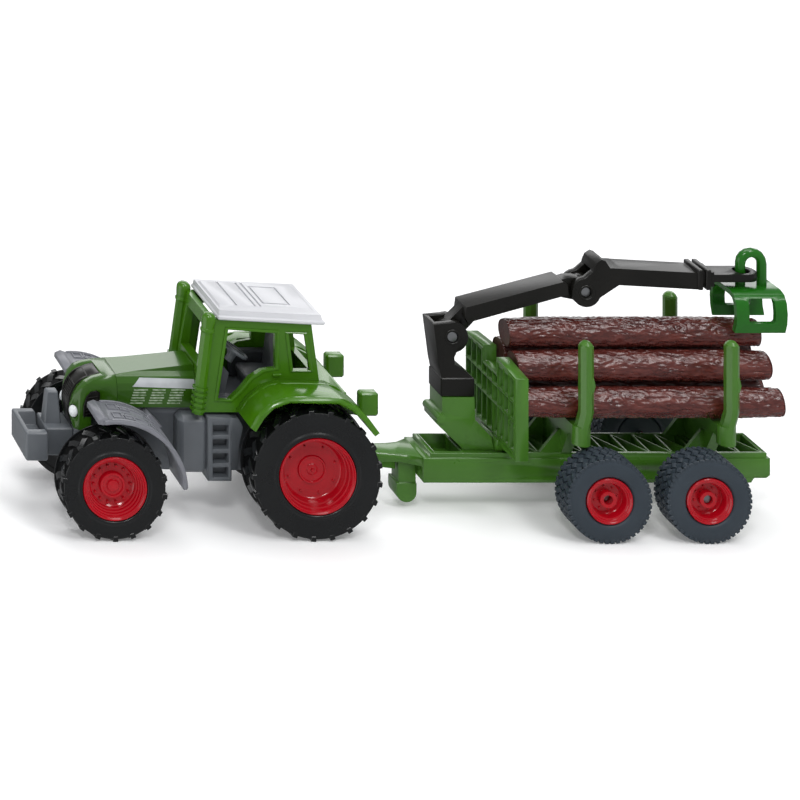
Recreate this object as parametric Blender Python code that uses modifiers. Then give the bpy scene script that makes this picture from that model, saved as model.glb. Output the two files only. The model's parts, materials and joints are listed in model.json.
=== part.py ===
"""Toy tractor with a forestry trailer: crane, grapple and a load of logs.

Every sub-part is its own closed solid. Lengths here are millimetres, and MM turns them into
metres. X runs from the tractor's nose (-X) to the trailer's tail (+X), Y runs across, Z is up,
and the wheels stand on Z = 0.
"""
import math

import bmesh
import bpy
from mathutils import Matrix, Vector

MM = 0.001
FIT = 0.08                     # gap between neighbouring pieces

# Whole object
CENTRE_X = 0.5                 # middle of the whole length, moved to X = 0

# Wheels: axle place, outer radius, rim radius, inner face, width
FRONT_WHEEL = dict(x=-72.0, radius=12.35, rim=7.5, inner=11.4, width=7.1)
REAR_WHEEL = dict(x=-25.1, radius=15.2, rim=9.0, inner=9.9, width=8.6)
TRAILER_FRONT_WHEEL = dict(x=42.0, radius=9.9, rim=5.4, inner=12.5, width=7.0)
TRAILER_REAR_WHEEL = dict(x=65.1, radius=9.9, rim=5.4, inner=12.5, width=7.0)
AXLE_R = 1.0
AXLE_BORE_R = 1.18
WHEEL_STEPS = 24

# Tractor
DECK_Z = 25.6                  # top of the grey chassis, under bonnet and cab
BONNET_HALF = 6.0
NOSE_SEAM_X = -67.7
CAB_FRONT_X, CAB_REAR_X = -49.0, -21.1
CAB_HALF = 8.5
CAB_WALL = 1.2
FENDER_IN, FENDER_OUT = 8.6, 18.5
ROOF_HALF = 9.5
ROOF_FRONT_X = -45.2
ROOF_FALL = 1.3                # how much lower the roof's rear end is than its front end

# Trailer
HITCH_X = -12.0
BEAM_HALF = 5.5
BEAM_END_X = 86.6
BEAM_LOW, BEAM_TOP = 7.6, 14.4
BUNK_XS = (38.5, 72.4)
STAKE_Y, STAKE_R, STAKE_TOP = 13.9, 1.65, 44.9
HEADBOARD_X, HEADBOARD_T = 22.9, 3.0
HEADBOARD_HALF = 13.3

# Crane
SLEW_X, SLEW_Z = 13.75, 27.0
BOOM_PIN = (12.6, 41.0)
ELBOW_PIN = (44.4, 51.45)
PIN_R = 1.25
EYE_X = 82.6
CRANE_HALF = 3.1
TONGUE_HALF = 1.4

# Logs: a pyramid of three, two and one
LOG_R = 3.72
LOG_ROW_Z = (27.9, 34.75, 40.9)
LOG_PITCH = 8.2
LOG_STARTS = (26.4, 26.4, 26.2)
LOG_ENDS = (87.0, 86.2, 85.9)


# ---------------------------------------------------------------- scene and materials

def clear_scene():
    for obj in list(bpy.data.objects):
        bpy.data.objects.remove(obj, do_unlink=True)


def new_collection(name):
    collection = bpy.data.collections.new(name)
    bpy.context.scene.collection.children.link(collection)
    return collection


def paint(name, red, green, blue, roughness, metallic=0.0):
    material = bpy.data.materials.new(name)
    material.use_nodes = True
    shader = material.node_tree.nodes["Principled BSDF"]
    shader.inputs["Base Color"].default_value = (red, green, blue, 1.0)
    shader.inputs["Roughness"].default_value = roughness
    shader.inputs["Metallic"].default_value = metallic
    return material


clear_scene()
PARTS = new_collection("toy_tractor")
GREEN = paint("green_paint", 0.05, 0.19, 0.015, 0.25)
TRAILER_GREEN = paint("trailer_green", 0.06, 0.2, 0.03, 0.35)
GREY = paint("grey_plastic", 0.14, 0.16, 0.18, 0.5)
BLACK = paint("black_plastic", 0.02, 0.02, 0.018, 0.4)
WHITE = paint("white_plastic", 0.82, 0.82, 0.86, 0.4)
RED = paint("red_rim", 0.55, 0.005, 0.012, 0.25)
TYRE = paint("tractor_tyre", 0.015, 0.015, 0.017, 0.45)
GREY_TYRE = paint("trailer_tyre", 0.05, 0.065, 0.08, 0.65)
STEEL = paint("steel", 0.6, 0.6, 0.58, 0.3, 1.0)
LAMP = paint("lamp_white", 0.85, 0.88, 0.9, 0.2)
BARK = paint("log_brown", 0.12, 0.03, 0.02, 0.4)


# ---------------------------------------------------------------- solids

def solid(mesh, name="piece"):
    """Link a mesh as an object of the toy."""
    obj = bpy.data.objects.new(name, mesh)
    PARTS.objects.link(obj)
    return obj


def from_bmesh(bm):
    mesh = bpy.data.meshes.new("piece")
    bmesh.ops.recalc_face_normals(bm, faces=bm.faces)
    bm.to_mesh(mesh)
    bm.free()
    return solid(mesh)


def block(xs, ys, zs, edge=0.0, top=None):
    """A box between the given limits; top gives other X and Y limits for its upper face."""
    bm = bmesh.new()
    bmesh.ops.create_cube(bm, size=1.0)
    for vert in bm.verts:
        use_xs, use_ys = (xs, ys) if vert.co.z < 0 or top is None else top
        vert.co = Vector((use_xs[vert.co.x > 0], use_ys[vert.co.y > 0], zs[vert.co.z > 0])) * MM
    if edge:
        bmesh.ops.bevel(bm, geom=bm.edges, offset=edge * MM, segments=1, affect="EDGES",
                        profile=0.5)
    return from_bmesh(bm)


def rod(axis, centre, radius, low, high, steps=20, end_radius=None):
    """A round bar along axis 'X', 'Y' or 'Z'; centre holds the other two coordinates."""
    bm = bmesh.new()
    bmesh.ops.create_cone(bm, cap_ends=True, segments=steps, radius1=radius * MM,
                          radius2=(radius if end_radius is None else end_radius) * MM,
                          depth=(high - low) * MM)
    middle = (low + high) / 2
    turn = {"X": Matrix.Rotation(math.pi / 2, 4, "Y"), "Z": Matrix.Identity(4),
            "Y": Matrix.Rotation(-math.pi / 2, 4, "X")}[axis]
    place = {"X": (middle, *centre), "Y": (centre[0], middle, centre[1]),
             "Z": (*centre, middle)}[axis]
    bmesh.ops.transform(bm, matrix=Matrix.Translation(Vector(place) * MM) @ turn, verts=bm.verts)
    return from_bmesh(bm)


def ball(centre, radii, steps=12):
    bm = bmesh.new()
    bmesh.ops.create_uvsphere(bm, u_segments=steps, v_segments=steps // 2, radius=MM)
    bmesh.ops.scale(bm, vec=Vector(radii), verts=bm.verts)
    bmesh.ops.translate(bm, vec=Vector(centre) * MM, verts=bm.verts)
    return from_bmesh(bm)


def from_curve(curve, turn):
    """The closed mesh of a filled or bevelled curve, its loose caps welded on."""
    holder = solid(curve)
    graph = bpy.context.evaluated_depsgraph_get()
    mesh = bpy.data.meshes.new_from_object(holder.evaluated_get(graph))
    bpy.data.objects.remove(holder, do_unlink=True)
    bm = bmesh.new()
    bm.from_mesh(mesh)
    bmesh.ops.remove_doubles(bm, verts=bm.verts, dist=0.002 * MM)
    bmesh.ops.dissolve_limit(bm, angle_limit=math.radians(1), verts=bm.verts, edges=bm.edges)
    bmesh.ops.transform(bm, matrix=turn, verts=bm.verts)
    return from_bmesh(bm)


def slab(plane, low, high, *outlines):
    """Flat outlines in a plane, filled and as thick as from low to high; inner ones are holes."""
    curve = bpy.data.curves.new("outline", "CURVE")
    curve.dimensions = "2D"
    curve.fill_mode = "BOTH"
    curve.extrude = (high - low) / 2 * MM
    for outline in outlines:
        spline = curve.splines.new("POLY")
        spline.points.add(len(outline) - 1)
        for point, (u, v) in zip(spline.points, outline):
            point.co = (u * MM, v * MM, 0.0, 1.0)
        spline.use_cyclic_u = True
    middle = (low + high) / 2 * MM
    basis = {"XZ": ((1, 0, 0), (0, 0, 1), (0, -1, 0), (0, middle, 0)),
             "XY": ((1, 0, 0), (0, 1, 0), (0, 0, 1), (0, 0, middle)),
             "YZ": ((0, 1, 0), (0, 0, 1), (1, 0, 0), (middle, 0, 0))}[plane]
    turn = Matrix([Vector(column).to_4d() for column in basis]).transposed()
    turn[3] = (0, 0, 0, 1)
    return from_curve(curve, turn)


def tube(points, radius, bevel_steps=2):
    curve = bpy.data.curves.new("route", "CURVE")
    curve.dimensions = "3D"
    curve.bevel_depth = radius * MM
    curve.bevel_resolution = bevel_steps
    curve.use_fill_caps = True
    spline = curve.splines.new("POLY")
    spline.points.add(len(points) - 1)
    for point, place in zip(spline.points, points):
        point.co = (*(Vector(place) * MM), 1.0)
    return from_curve(curve, Matrix.Identity(4))


def bake(obj):
    """Apply an object's modifiers."""
    graph = bpy.context.evaluated_depsgraph_get()
    mesh = bpy.data.meshes.new_from_object(obj.evaluated_get(graph))
    obj.modifiers.clear()
    obj.data = mesh
    return obj


def combine(base, others, operation):
    for other in others:
        modifier = base.modifiers.new("join", "BOOLEAN")
        modifier.operation = operation
        modifier.solver = "EXACT"
        modifier.object = other
    bake(base)
    for other in others:
        bpy.data.objects.remove(other, do_unlink=True)
    return base


def join(base, *others):
    return combine(base, others, "UNION")


def cut(base, *others):
    return combine(base, others, "DIFFERENCE")


def common(base, *others):
    return combine(base, others, "INTERSECT")


def mirrored(obj):
    """A copy on the other side of the toy's long axis."""
    mesh = obj.data.copy()
    mesh.transform(Matrix.Diagonal((1, -1, 1, 1)))
    mesh.flip_normals()
    return solid(mesh)


def both_sides(obj):
    return obj, mirrored(obj)


def turned(profile, steps=WHEEL_STEPS):
    """A ring turned about Z from a closed profile of (radius, height) points."""
    mesh = bpy.data.meshes.new("profile")
    count = len(profile)
    mesh.from_pydata([Vector((r, 0, h)) * MM for r, h in profile],
                     [(i, (i + 1) % count) for i in range(count)], [])
    obj = solid(mesh)
    screw = obj.modifiers.new("turn", "SCREW")
    screw.axis = "Z"
    screw.steps = steps
    screw.render_steps = steps
    screw.use_merge_vertices = True
    screw.merge_threshold = 0.0001 * MM
    return bake(obj)


# ---------------------------------------------------------------- outlines

def arc(centre, radius, start, end, count):
    """Points on a circle, angles in degrees from +X towards +Z."""
    angles = [math.radians(start + (end - start) * i / count) for i in range(count + 1)]
    return [(centre[0] + radius * math.cos(a), centre[1] + radius * math.sin(a)) for a in angles]


def offset_line(points, distance):
    """An open line moved sideways, to its left for a positive distance."""
    moved = []
    for i, point in enumerate(points):
        before = Vector(points[max(i - 1, 0)])
        after = Vector(points[min(i + 1, len(points) - 1)])
        along = (after - before).normalized()
        moved.append((point[0] - along.y * distance, point[1] + along.x * distance))
    return moved


def strip(points, inner, outer):
    """The closed outline of a band that follows an open line."""
    return offset_line(points, outer) + offset_line(points, inner)[::-1]


# ---------------------------------------------------------------- naming and placing

PLACES = {}                    # each pivot's place, in the toy's own frame


def new_pivot(name, x, y, z, parent=None):
    """An empty on a joint's axis."""
    empty = bpy.data.objects.new(name, None)
    PARTS.objects.link(empty)
    PLACES[name] = Vector((x, y, z)) * MM
    empty.location = PLACES[name]
    if parent:
        empty.parent = parent
        empty.location = PLACES[name] - PLACES[parent.name]
    return empty


def finish(obj, name, material, pivot, sharp=35):
    """Name a solid, give it its material and hang it on its pivot where it stands."""
    obj.name = name
    obj.data.name = name
    obj.data.materials.clear()
    obj.data.materials.append(material)
    obj.data.shade_smooth()
    obj.data.set_sharp_from_angle(angle=math.radians(sharp))
    obj.parent = pivot
    obj.matrix_parent_inverse = Matrix.Translation(-PLACES[pivot.name])
    return obj


# ---------------------------------------------------------------- pivots

ROOT = new_pivot("toy_origin", 0, 0, 0)
ROOT.location = (-CENTRE_X * MM, 0, 0)
TRAILER = new_pivot("hitch_pivot", HITCH_X, 0, 12.4, ROOT)
COLUMN = new_pivot("slew_pivot", SLEW_X, 0, SLEW_Z, TRAILER)
BOOM = new_pivot("boom_pivot", BOOM_PIN[0], 0, BOOM_PIN[1], COLUMN)
JIB = new_pivot("jib_pivot", ELBOW_PIN[0], 0, ELBOW_PIN[1], BOOM)
GRAPPLE = new_pivot("grapple_pivot", EYE_X, 0, 54.7, JIB)
LOAD = new_pivot("load_pivot", LOG_STARTS[0], 0, LOG_ROW_Z[0], TRAILER)


# ---------------------------------------------------------------- wheels

def wheel_axis_mesh(profile, wheel, side):
    """A turned ring laid on its axle; heights in the profile run outwards from its inner face."""
    obj = turned(profile)
    turn = Matrix.Rotation(math.pi / 2 * -side, 4, "X")
    place = Vector((wheel["x"], side * wheel["inner"], wheel["radius"])) * MM
    obj.data.transform(Matrix.Translation(place) @ turn)
    return obj


def tyre_profile(wheel):
    outer, rim, width = wheel["radius"], wheel["rim"], wheel["width"]
    wall = rim + 0.55 * (outer - rim)
    return [(rim, width - 0.9), (rim + 0.5, width - 0.3), (wall, width), (outer - 1.1, width - 0.5),
            (outer, width - 1.5), (outer, 1.5), (outer - 1.1, 0.5), (wall, 0.0),
            (rim + 0.5, 0.3), (rim, 0.9)]


def rim_profile(wheel, dish, boss_r, boss_height):
    """A deep dish with a hub boss round the axle."""
    rim, width = wheel["rim"] - FIT, wheel["width"]
    floor = width - dish
    return [(AXLE_R + FIT, floor + boss_height), (boss_r, floor + boss_height), (boss_r, floor),
            (rim - 1.9, floor), (rim - 0.7, width - 0.5), (rim, width - 0.5), (rim, 0.9),
            (rim - 2.2, floor - 1.2), (AXLE_R + FIT, floor - 1.2)]


def wheel_set(name, wheel, parent, tyre_paint, dish, boss_r, boss_height, sunk=0.4):
    """An axle with a tyre and a rim at each end; sunk is how far its ends lie inside the hubs."""
    pivot = new_pivot(name + "_pivot", wheel["x"], 0, wheel["radius"], parent)
    centre = (wheel["x"], wheel["radius"])
    reach = wheel["inner"] + wheel["width"] - dish + boss_height - sunk
    finish(rod("Y", centre, AXLE_R, -reach, reach, 16), name + "_axle", STEEL, pivot)
    for side, side_name in ((-1, "left"), (1, "right")):
        tyre = wheel_axis_mesh(tyre_profile(wheel), wheel, side)
        finish(tyre, f"{name}_tyre_{side_name}", tyre_paint, pivot, 50)
        rim = wheel_axis_mesh(rim_profile(wheel, dish, boss_r, boss_height), wheel, side)
        finish(rim, f"{name}_rim_{side_name}", RED, pivot)


# ---------------------------------------------------------------- tractor: bonnet and nose

NOSE_LINE = [(-77.5, 20.0), (-78.1, 22.5), (-78.2, 25.0), (-77.6, 27.5), (-76.4, 29.6),
             (-74.9, 31.0), (-73.0, 31.9), (-71.0, 32.4), (NOSE_SEAM_X, 32.9)]
GRILLE_LINE = [(-77.55, 20.2)] + NOSE_LINE[1:-1]
GROOVE_LINE = [(-76.9, 18.5)] + NOSE_LINE[1:-2] + [(-70.9, 32.41)]
VENT_OUTLINE = [(-75.8, 23.4), (-75.7, 26.0), (-75.0, 28.2), (-74.0, 29.3), (-72.6, 29.7),
                (-71.8, 29.2), (-71.8, 23.4)]


def round_shoulders(obj, half, low, width, steps=2):
    """Round the upper rims of the two side faces."""
    bm = bmesh.new()
    bm.from_mesh(obj.data)
    rims = [edge for edge in bm.edges if all(abs(abs(v.co.y) - half * MM) < 0.01 * MM
            and v.co.z > low * MM for v in edge.verts) and len(edge.link_faces) == 2
            and any(abs(face.normal.y) < 0.5 for face in edge.link_faces)]
    bmesh.ops.bevel(bm, geom=rims, offset=width * MM, segments=steps, affect="EDGES", profile=0.5,
                    clamp_overlap=True)
    bm.to_mesh(obj.data)
    bm.free()
    return obj


def headlight_lens(growth=0.0):
    return ball((-77.6, -4.2, 24.0), (1.1 + growth, 1.1 + growth, 1.6 + growth))


def hood_section(low, xs):
    """The bonnet's cross-section, with rounded shoulders, as a solid along X."""
    half, crown = BONNET_HALF, 36.0
    shoulder = [(half, 29.6), (half - 0.35, 31.2), (half - 1.1, 32.5), (half - 2.0, 33.4),
                (half - 2.4, crown)]
    return slab("YZ", *xs, [(half, low)] + shoulder + [(-y, z) for y, z in shoulder[::-1]]
                + [(-half, low)])


def build_nose():
    end = NOSE_SEAM_X - FIT
    cowl = slab("XZ", -7, 7, NOSE_LINE[:-1] + [(end, 32.9), (end, DECK_Z + FIT),
                                              (-73.9, DECK_Z + FIT), (-73.9, 20.0)])
    half = BONNET_HALF
    plan = slab("XY", 15, 40, [(-60, -half), (-60, half), (-74.4, half), (-76.4, half - 0.7),
                               (-77.6, half - 1.9), (-78.8, half - 3.6), (-78.8, -half + 3.6),
                               (-77.6, -half + 1.9), (-76.4, -half + 0.7), (-74.4, -half)])
    common(cowl, hood_section(15, (-85, -60)), plan)
    groove = slab("XZ", -2.9, 2.9, strip(GROOVE_LINE, -0.7, 1.5))
    pockets = both_sides(slab("XZ", -BONNET_HALF - 1, -BONNET_HALF + 0.55, VENT_OUTLINE))
    sockets = both_sides(headlight_lens(FIT))
    cut(cowl, groove, *pockets, *sockets)
    finish(cowl, "nose_cowl", GREEN, ROOT)
    inset = offset_line(VENT_OUTLINE + VENT_OUTLINE[:1], -FIT)[:-1]
    vents = both_sides(slab("XZ", -BONNET_HALF - 0.05, -BONNET_HALF + 0.55 - FIT, inset))
    for lens, vent, side_name in zip(both_sides(headlight_lens()), vents, ("left", "right")):
        finish(lens, "headlight_" + side_name, LAMP, ROOT)
        finish(vent, "side_vent_" + side_name, BLACK, ROOT)
    grille = slab("XZ", -2.8, 2.8, strip(GRILLE_LINE, -0.6, 0.1))
    finish(grille, "grille", BLACK, ROOT)


def build_bonnet():
    bonnet = slab("XZ", -7, 7, [(NOSE_SEAM_X, DECK_Z + FIT), (NOSE_SEAM_X, 32.9),
                                (CAB_FRONT_X - FIT, 34.9), (CAB_FRONT_X - FIT, DECK_Z + FIT)])
    common(bonnet, hood_section(15, (-75, -40)))
    finish(bonnet, "bonnet", GREEN, ROOT)


# ---------------------------------------------------------------- tractor: cab

def build_cab():
    side = [(CAB_FRONT_X, DECK_Z + FIT), (CAB_FRONT_X, 34.0), (-46.9, 47.6), (-22.9, 46.4),
            (CAB_REAR_X, 33.0), (CAB_REAR_X, DECK_Z + FIT)]
    door = [(-45.8, 28.5), (-42.4, 28.5), (-39.9, 30.9), (-37.4, 33.9), (-34.8, 35.5),
            (-31.4, 36.0), (-31.5, 44.5), (-43.2, 45.3)]
    quarter = [(-27.5, 35.5), (-23.1, 35.5), (-24.4, 44.1), (-28.6, 44.3)]
    cab = slab("XZ", -CAB_HALF, CAB_HALF, side)
    inner = CAB_HALF - CAB_WALL
    cavity = slab("XZ", -inner, inner, [(-47.4, 27.2), (-45.2, 50.0), (-24.3, 50.0),
                                        (-22.6, 33.0), (-22.6, 27.2)])
    openings = [slab("XZ", -CAB_HALF - 1, CAB_HALF + 1, outline) for outline in (door, quarter)]
    screen = block((-52, -43), (-6.2, 6.2), (35.6, 44.9), top=((-52, -43), (-5.6, 5.6)))
    back = block((-26, -18), (-6.0, 6.0), (34.8, 44.0))
    cut(cab, cavity, *openings, screen, back)
    header = block((-46.2, -23.6), (-inner - 0.3, inner + 0.3), (45.5, 46.3))
    header = cut(header, block((-44.6, -25.0), (-5.6, 5.6), (45, 47)))
    join(cab, header, *both_sides(intake_stack()))
    finish(cab, "cab_frame", GREEN, ROOT)


def intake_stack():
    """The upright air intake in front of the near door post, with a ribbed foot."""
    low, high = Vector((-50.0, -9.3, 25.9)), Vector((-46.95, -8.8, 49.4))
    pipe = tube([low, high], 1.4)
    along = (high - low).normalized()
    ribs = []
    for i in range(5):
        at = low + along * (0.6 + 1.25 * i)
        ribs.append(tube([at, at + along * 0.7], 1.75, 1))
    join(pipe, *ribs)
    slant = slab("XZ", -14, -6, [(-52, 50.2), (-43, 47.2), (-43, 53), (-52, 53)])
    return cut(pipe, slant)


def build_roof():
    low, middle, shoulder, high = 47.7, 48.7, 49.9, 50.4
    lip = block((ROOF_FRONT_X, -20.0), (-ROOF_HALF, ROOF_HALF), (low, middle), edge=0.3)
    band = block((ROOF_FRONT_X + 0.3, -20.4), (-9.2, 9.2), (middle - 0.4, shoulder), edge=0.0,
                 top=((ROOF_FRONT_X + 0.5, -20.8), (-8.9, 8.9)))
    crown = block((ROOF_FRONT_X + 0.7, -21.0), (-8.5, 8.5), (shoulder - 0.4, high), edge=0.0,
                  top=((ROOF_FRONT_X + 1.3, -22.4), (-6.6, 6.6)))
    roof = join(lip, band, crown)
    grooves = [block((x, x + 0.5), (-6.7, 6.7), (high - 0.35, high + 1))
               for x in (-40.2, -35.8, -34.5)]
    hatch = cut(block((-33.2, -26.6), (-5.0, 5.0), (high - 0.35, high + 1)),
                block((-32.7, -27.1), (-4.5, 4.5), (high - 1, high + 2)))
    cut(roof, *grooves, hatch)
    shear = Matrix.Identity(4)
    slope = ROOF_FALL / (-20.0 - ROOF_FRONT_X)
    shear[2][0] = -slope
    shear[2][3] = ROOF_FRONT_X * slope * MM
    roof.data.transform(shear)
    finish(roof, "roof", WHITE, ROOT)


def build_interior():
    """Floor, dashboard, driver's seat and side console, one grey moulding."""
    half = CAB_HALF - CAB_WALL - 0.2
    floor = block((-46.9, -23.0), (-half, half), (27.4, 28.2))
    dash = slab("XZ", -4.2, 2.6, [(-46.0, 28.0), (-45.2, 34.5), (-42.6, 35.2), (-40.8, 33.0),
                                  (-41.8, 28.0)])
    plinth = block((-36.0, -27.0), (-4.0, 4.0), (28.0, 30.4))
    cushion = block((-36.6, -28.4), (-3.8, 3.8), (30.0, 32.2), edge=0.5)
    back = slab("XZ", -3.6, 3.6, [(-30.4, 31.0), (-29.0, 41.8), (-27.2, 41.6), (-27.4, 31.0)])
    console = block((-37.5, -27.6), (4.8, half - 0.1), (28.0, 34.4), edge=0.4)
    moulding = join(floor, dash, plinth, cushion, back, console)
    finish(moulding, "cab_interior", GREY, ROOT)


def build_steering_wheel():
    """A ring with a hub, three spokes and its column, tilted towards the driver."""
    ring_r, wire = 2.9, 0.45
    bm = bmesh.new()
    profile = [bm.verts.new(Vector((ring_r + wire * math.cos(a), 0, wire * math.sin(a))) * MM)
               for a in (math.radians(60 * i) for i in range(6))]
    edges = [bm.edges.new((profile[i], profile[(i + 1) % 6])) for i in range(6)]
    bmesh.ops.spin(bm, geom=profile + edges, angle=math.tau, steps=18, axis=(0, 0, 1),
                   cent=(0, 0, 0), use_merge=True)
    bmesh.ops.remove_doubles(bm, verts=bm.verts, dist=0.002 * MM)
    ring = from_bmesh(bm)
    spokes = []
    for i in range(3):
        angle = math.tau * i / 3
        end = (math.cos(angle) * ring_r, math.sin(angle) * ring_r, 0)
        spokes.append(tube([(0, 0, -0.1), end], 0.34, 1))
    hub = rod("Z", (0, 0), 0.95, -3.0, 0.35, 10)
    wheel = join(ring, hub, *spokes)
    tilt = Matrix.Rotation(math.radians(33), 4, "Y")
    wheel.data.transform(Matrix.Translation(Vector((-38.2, -0.8, 37.0)) * MM) @ tilt)
    finish(wheel, "steering_wheel", GREY, ROOT)


# ---------------------------------------------------------------- tractor: fenders

def build_rear_fenders():
    """Two wide arched fenders joined by a bridge behind the cab, with tail lamp blocks."""
    arch = [(-40.6, 26.4), (-38.6, 29.6), (-35.6, 32.0), (-31.6, 33.4), (-20.0, 33.2),
            (-16.4, 31.4), (-13.4, 28.8), (-10.9, 25.4)]
    shell = slab("XZ", -FENDER_OUT, -FENDER_IN, strip(arch, -1.3, 0.0))
    round_shoulders(shell, FENDER_OUT, 26.0, 0.5, 1)
    inner_wall = slab("XZ", -FENDER_IN - 1.1, -FENDER_IN,
                      offset_line(arch, -0.4) + [(-13.5, DECK_Z + FIT), (-37.5, DECK_Z + FIT)])
    lamp = block((-12.6, -8.2), (-11.4, -FENDER_IN - 0.3), (25.9, 31.5), edge=0.5)
    near = join(shell, inner_wall, lamp)
    far = mirrored(near)
    bridge = block((CAB_REAR_X + FIT, -14.8), (-FENDER_IN - 0.5, FENDER_IN + 0.5),
                   (DECK_Z + FIT, 30.6), edge=0.3)
    finish(join(near, far, bridge), "rear_fenders", GREEN, ROOT)


def build_front_fender():
    """An arched mudguard over a front wheel, carried by a bracket on the chassis."""
    centre = (-71.6, 12.0)
    arch = arc(centre, 16.3, 100, 1, 13)
    shell = slab("XZ", -18.5, -8.2, strip(arch, -0.9, 0.0))
    flap = slab("XZ", -18.1, -8.7, [(-73.5, 27.3), (-73.3, 28.4), (-74.3, 28.8), (-75.7, 28.2),
                                    (-75.8, 27.2), (-74.6, 27.0)])
    bars = [slab("XZ", -y - 0.4, -y + 0.4, strip(arc(centre, 16.2, 84, 60, 3), -0.3, 0.4))
            for y in (11.2, 15.4)]
    bracket = slab("XZ", -8.9, -5.0 - FIT, [(-60.4, 21.4), (-58.0, 22.4), (-61.0, 25.3),
                                            (-63.0, 24.0)])
    near, far = both_sides(join(shell, flap, *bars, bracket))
    finish(near, "front_fender_left", GREY, ROOT)
    finish(far, "front_fender_right", GREY, ROOT)


# ---------------------------------------------------------------- tractor: chassis

def build_chassis():
    body = slab("XZ", -5.0, 5.0, [(-77.5, 11.2), (-77.5, 19.9), (-73.8, 19.9), (-73.8, DECK_Z),
                                  (-15.6, DECK_Z), (-15.6, 11.0), (-40.0, 10.4), (-66.0, 10.6)])
    sides = []
    for side in (-1, 1):
        near_y, wide_y = sorted((side * 4.0, side * 9.2))
        sides.append(block((-54.2, -47.4), (near_y, wide_y), (11.4, 24.8), edge=1.1))
        step_y = sorted((side * 4.5, side * 9.6))
        ladder = block((-47.6, -42.0), step_y, (10.0, 24.9))
        slots = [block((-46.4, -42.7), sorted((side * 7.2, side * 10.5)), (z, z + 2.3))
                 for z in (10.9, 14.2, 17.5, 20.8)]
        sides.append(cut(ladder, *slots))
        guard_y = sorted((side * 4.6, side * 9.4))
        sides.append(slab("XZ", *guard_y, [(-42.4, 12.4), (-42.4, 24.7), (-40.4, 24.7),
                                           (-39.2, 22.6), (-40.2, 18.0), (-40.6, 12.4)]))
    join(body, *sides)
    bores = [rod("Y", (wheel["x"], wheel["radius"]), AXLE_BORE_R, -7, 7, 16)
             for wheel in (FRONT_WHEEL, REAR_WHEEL)]
    finish(cut(body, *bores), "chassis_base", GREY, ROOT)


def build_weight():
    weight = block((-89.4, -84.1), (-6.6, 6.6), (13.2, 19.9), edge=0.35)
    tray = block((-88.0, -83.0), (-3.6, 3.6), (17.2, 21.0), top=((-88.4, -83.0), (-5.0, 5.0)))
    finish(cut(weight, tray), "front_weight", GREY, ROOT)
    bracket = block((-84.0, -77.6), (-4.2, 4.2), (13.4, 19.9), edge=0.3)
    post = block((-83.8, -79.6), (-1.7, 1.7), (19.0, 27.3), edge=0.3,
                 top=((-83.0, -80.3), (-1.1, 1.1)))
    finish(join(bracket, post), "weight_bracket", GREY, ROOT)


def build_hitch():
    plate = block((-18.5, -9.4), (-3.0, 3.0), (8.6, 10.9), edge=0.3)
    pin = rod("Z", (HITCH_X, 0), 1.05, 10.0, 14.9, 16)
    finish(join(plate, pin), "tow_hitch", GREY, ROOT)


# ---------------------------------------------------------------- trailer

def truss_windows():
    """Pairs of right-angled openings through the deck, with a diagonal strut between them."""
    windows = []
    start, end, bays, half, strut = 27.2, 85.3, 11, BEAM_HALF - 1.0, 0.55
    pitch = (end - start) / bays
    slope = math.atan2(2 * half, pitch - strut)
    inset, tip = strut / 2 / math.sin(slope), strut / 2 / math.cos(slope)
    for i in range(bays):
        left = start + i * pitch + strut / 2
        right = left + pitch - strut
        windows.append([(left, -half), (right - inset, -half), (left, half - tip)])
        windows.append([(right, half), (left + inset, half), (right, -half + tip)])
    return windows


def build_trailer_frame():
    ledge = BEAM_TOP - 1.05
    beam = slab("XZ", -BEAM_HALF, BEAM_HALF, [
        (4.7, BEAM_LOW), (4.7, ledge), (BEAM_END_X, ledge), (BEAM_END_X, 9.4), (85.7, 8.7),
        (82.8, 8.7), (82.1, BEAM_LOW)])
    rail_half = BEAM_HALF - 0.4
    rail = slab("XY", ledge - 0.4, BEAM_TOP,
                [(6.5, -rail_half), (86.0, -rail_half), (86.0, rail_half), (6.5, rail_half)])
    drawbar = slab("XY", 11.1, ledge - 0.05, [
        (5.2, -5.3), (5.2, 5.3), (1.8, 3.2), (-1.0, 2.6), (HITCH_X + 1.2, 2.1),
        (HITCH_X + 1.2, -2.1), (-1.0, -2.6), (1.8, -3.2)])
    web = slab("XZ", -1.6, 1.6, [(-0.3, 9.0), (-0.3, 12.0), (-7.2, 12.0), (-7.2, 10.4),
                                 (-3.4, 9.4)])
    eye = rod("Z", (HITCH_X, 0), 2.5, 11.1, ledge - 0.05, 20)
    frame = join(beam, rail, drawbar, web, eye)
    well = block((7.8, 14.0), (-4.3, 4.3), (11.2, 17))
    eye_hole = rod("Z", (HITCH_X, 0), 1.05 + 0.1, 5, 18, 16)
    bores = [rod("Y", (wheel["x"], wheel["radius"]), AXLE_BORE_R, -8, 8, 16)
             for wheel in (TRAILER_FRONT_WHEEL, TRAILER_REAR_WHEEL)]
    windows = [slab("XY", BEAM_LOW - 2, BEAM_TOP + 2, window) for window in truss_windows()]
    cut(frame, well, eye_hole, *bores, *windows)
    finish(frame, "trailer_frame", TRAILER_GREEN, TRAILER)


def build_support_leg():
    """A parking leg with a round foot, clear of the ground while the trailer is hitched."""
    foot = [(-0.4, 6.1), (-0.4, 3.9)] + arc((2.0, 3.9), 2.4, 180, 360, 10)[1:-1] + [
        (4.4, 3.9), (4.4, 6.1)]
    shoe = slab("XZ", -2.6, 2.6, foot)
    body = slab("XZ", -2.1, 2.1, [(0.2, 5.8), (0.2, 11.1 - FIT), (4.4, 11.1 - FIT), (4.4, 5.8)])
    leg = join(shoe, body)
    finish(leg, "support_leg", TRAILER_GREEN, TRAILER)


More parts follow.
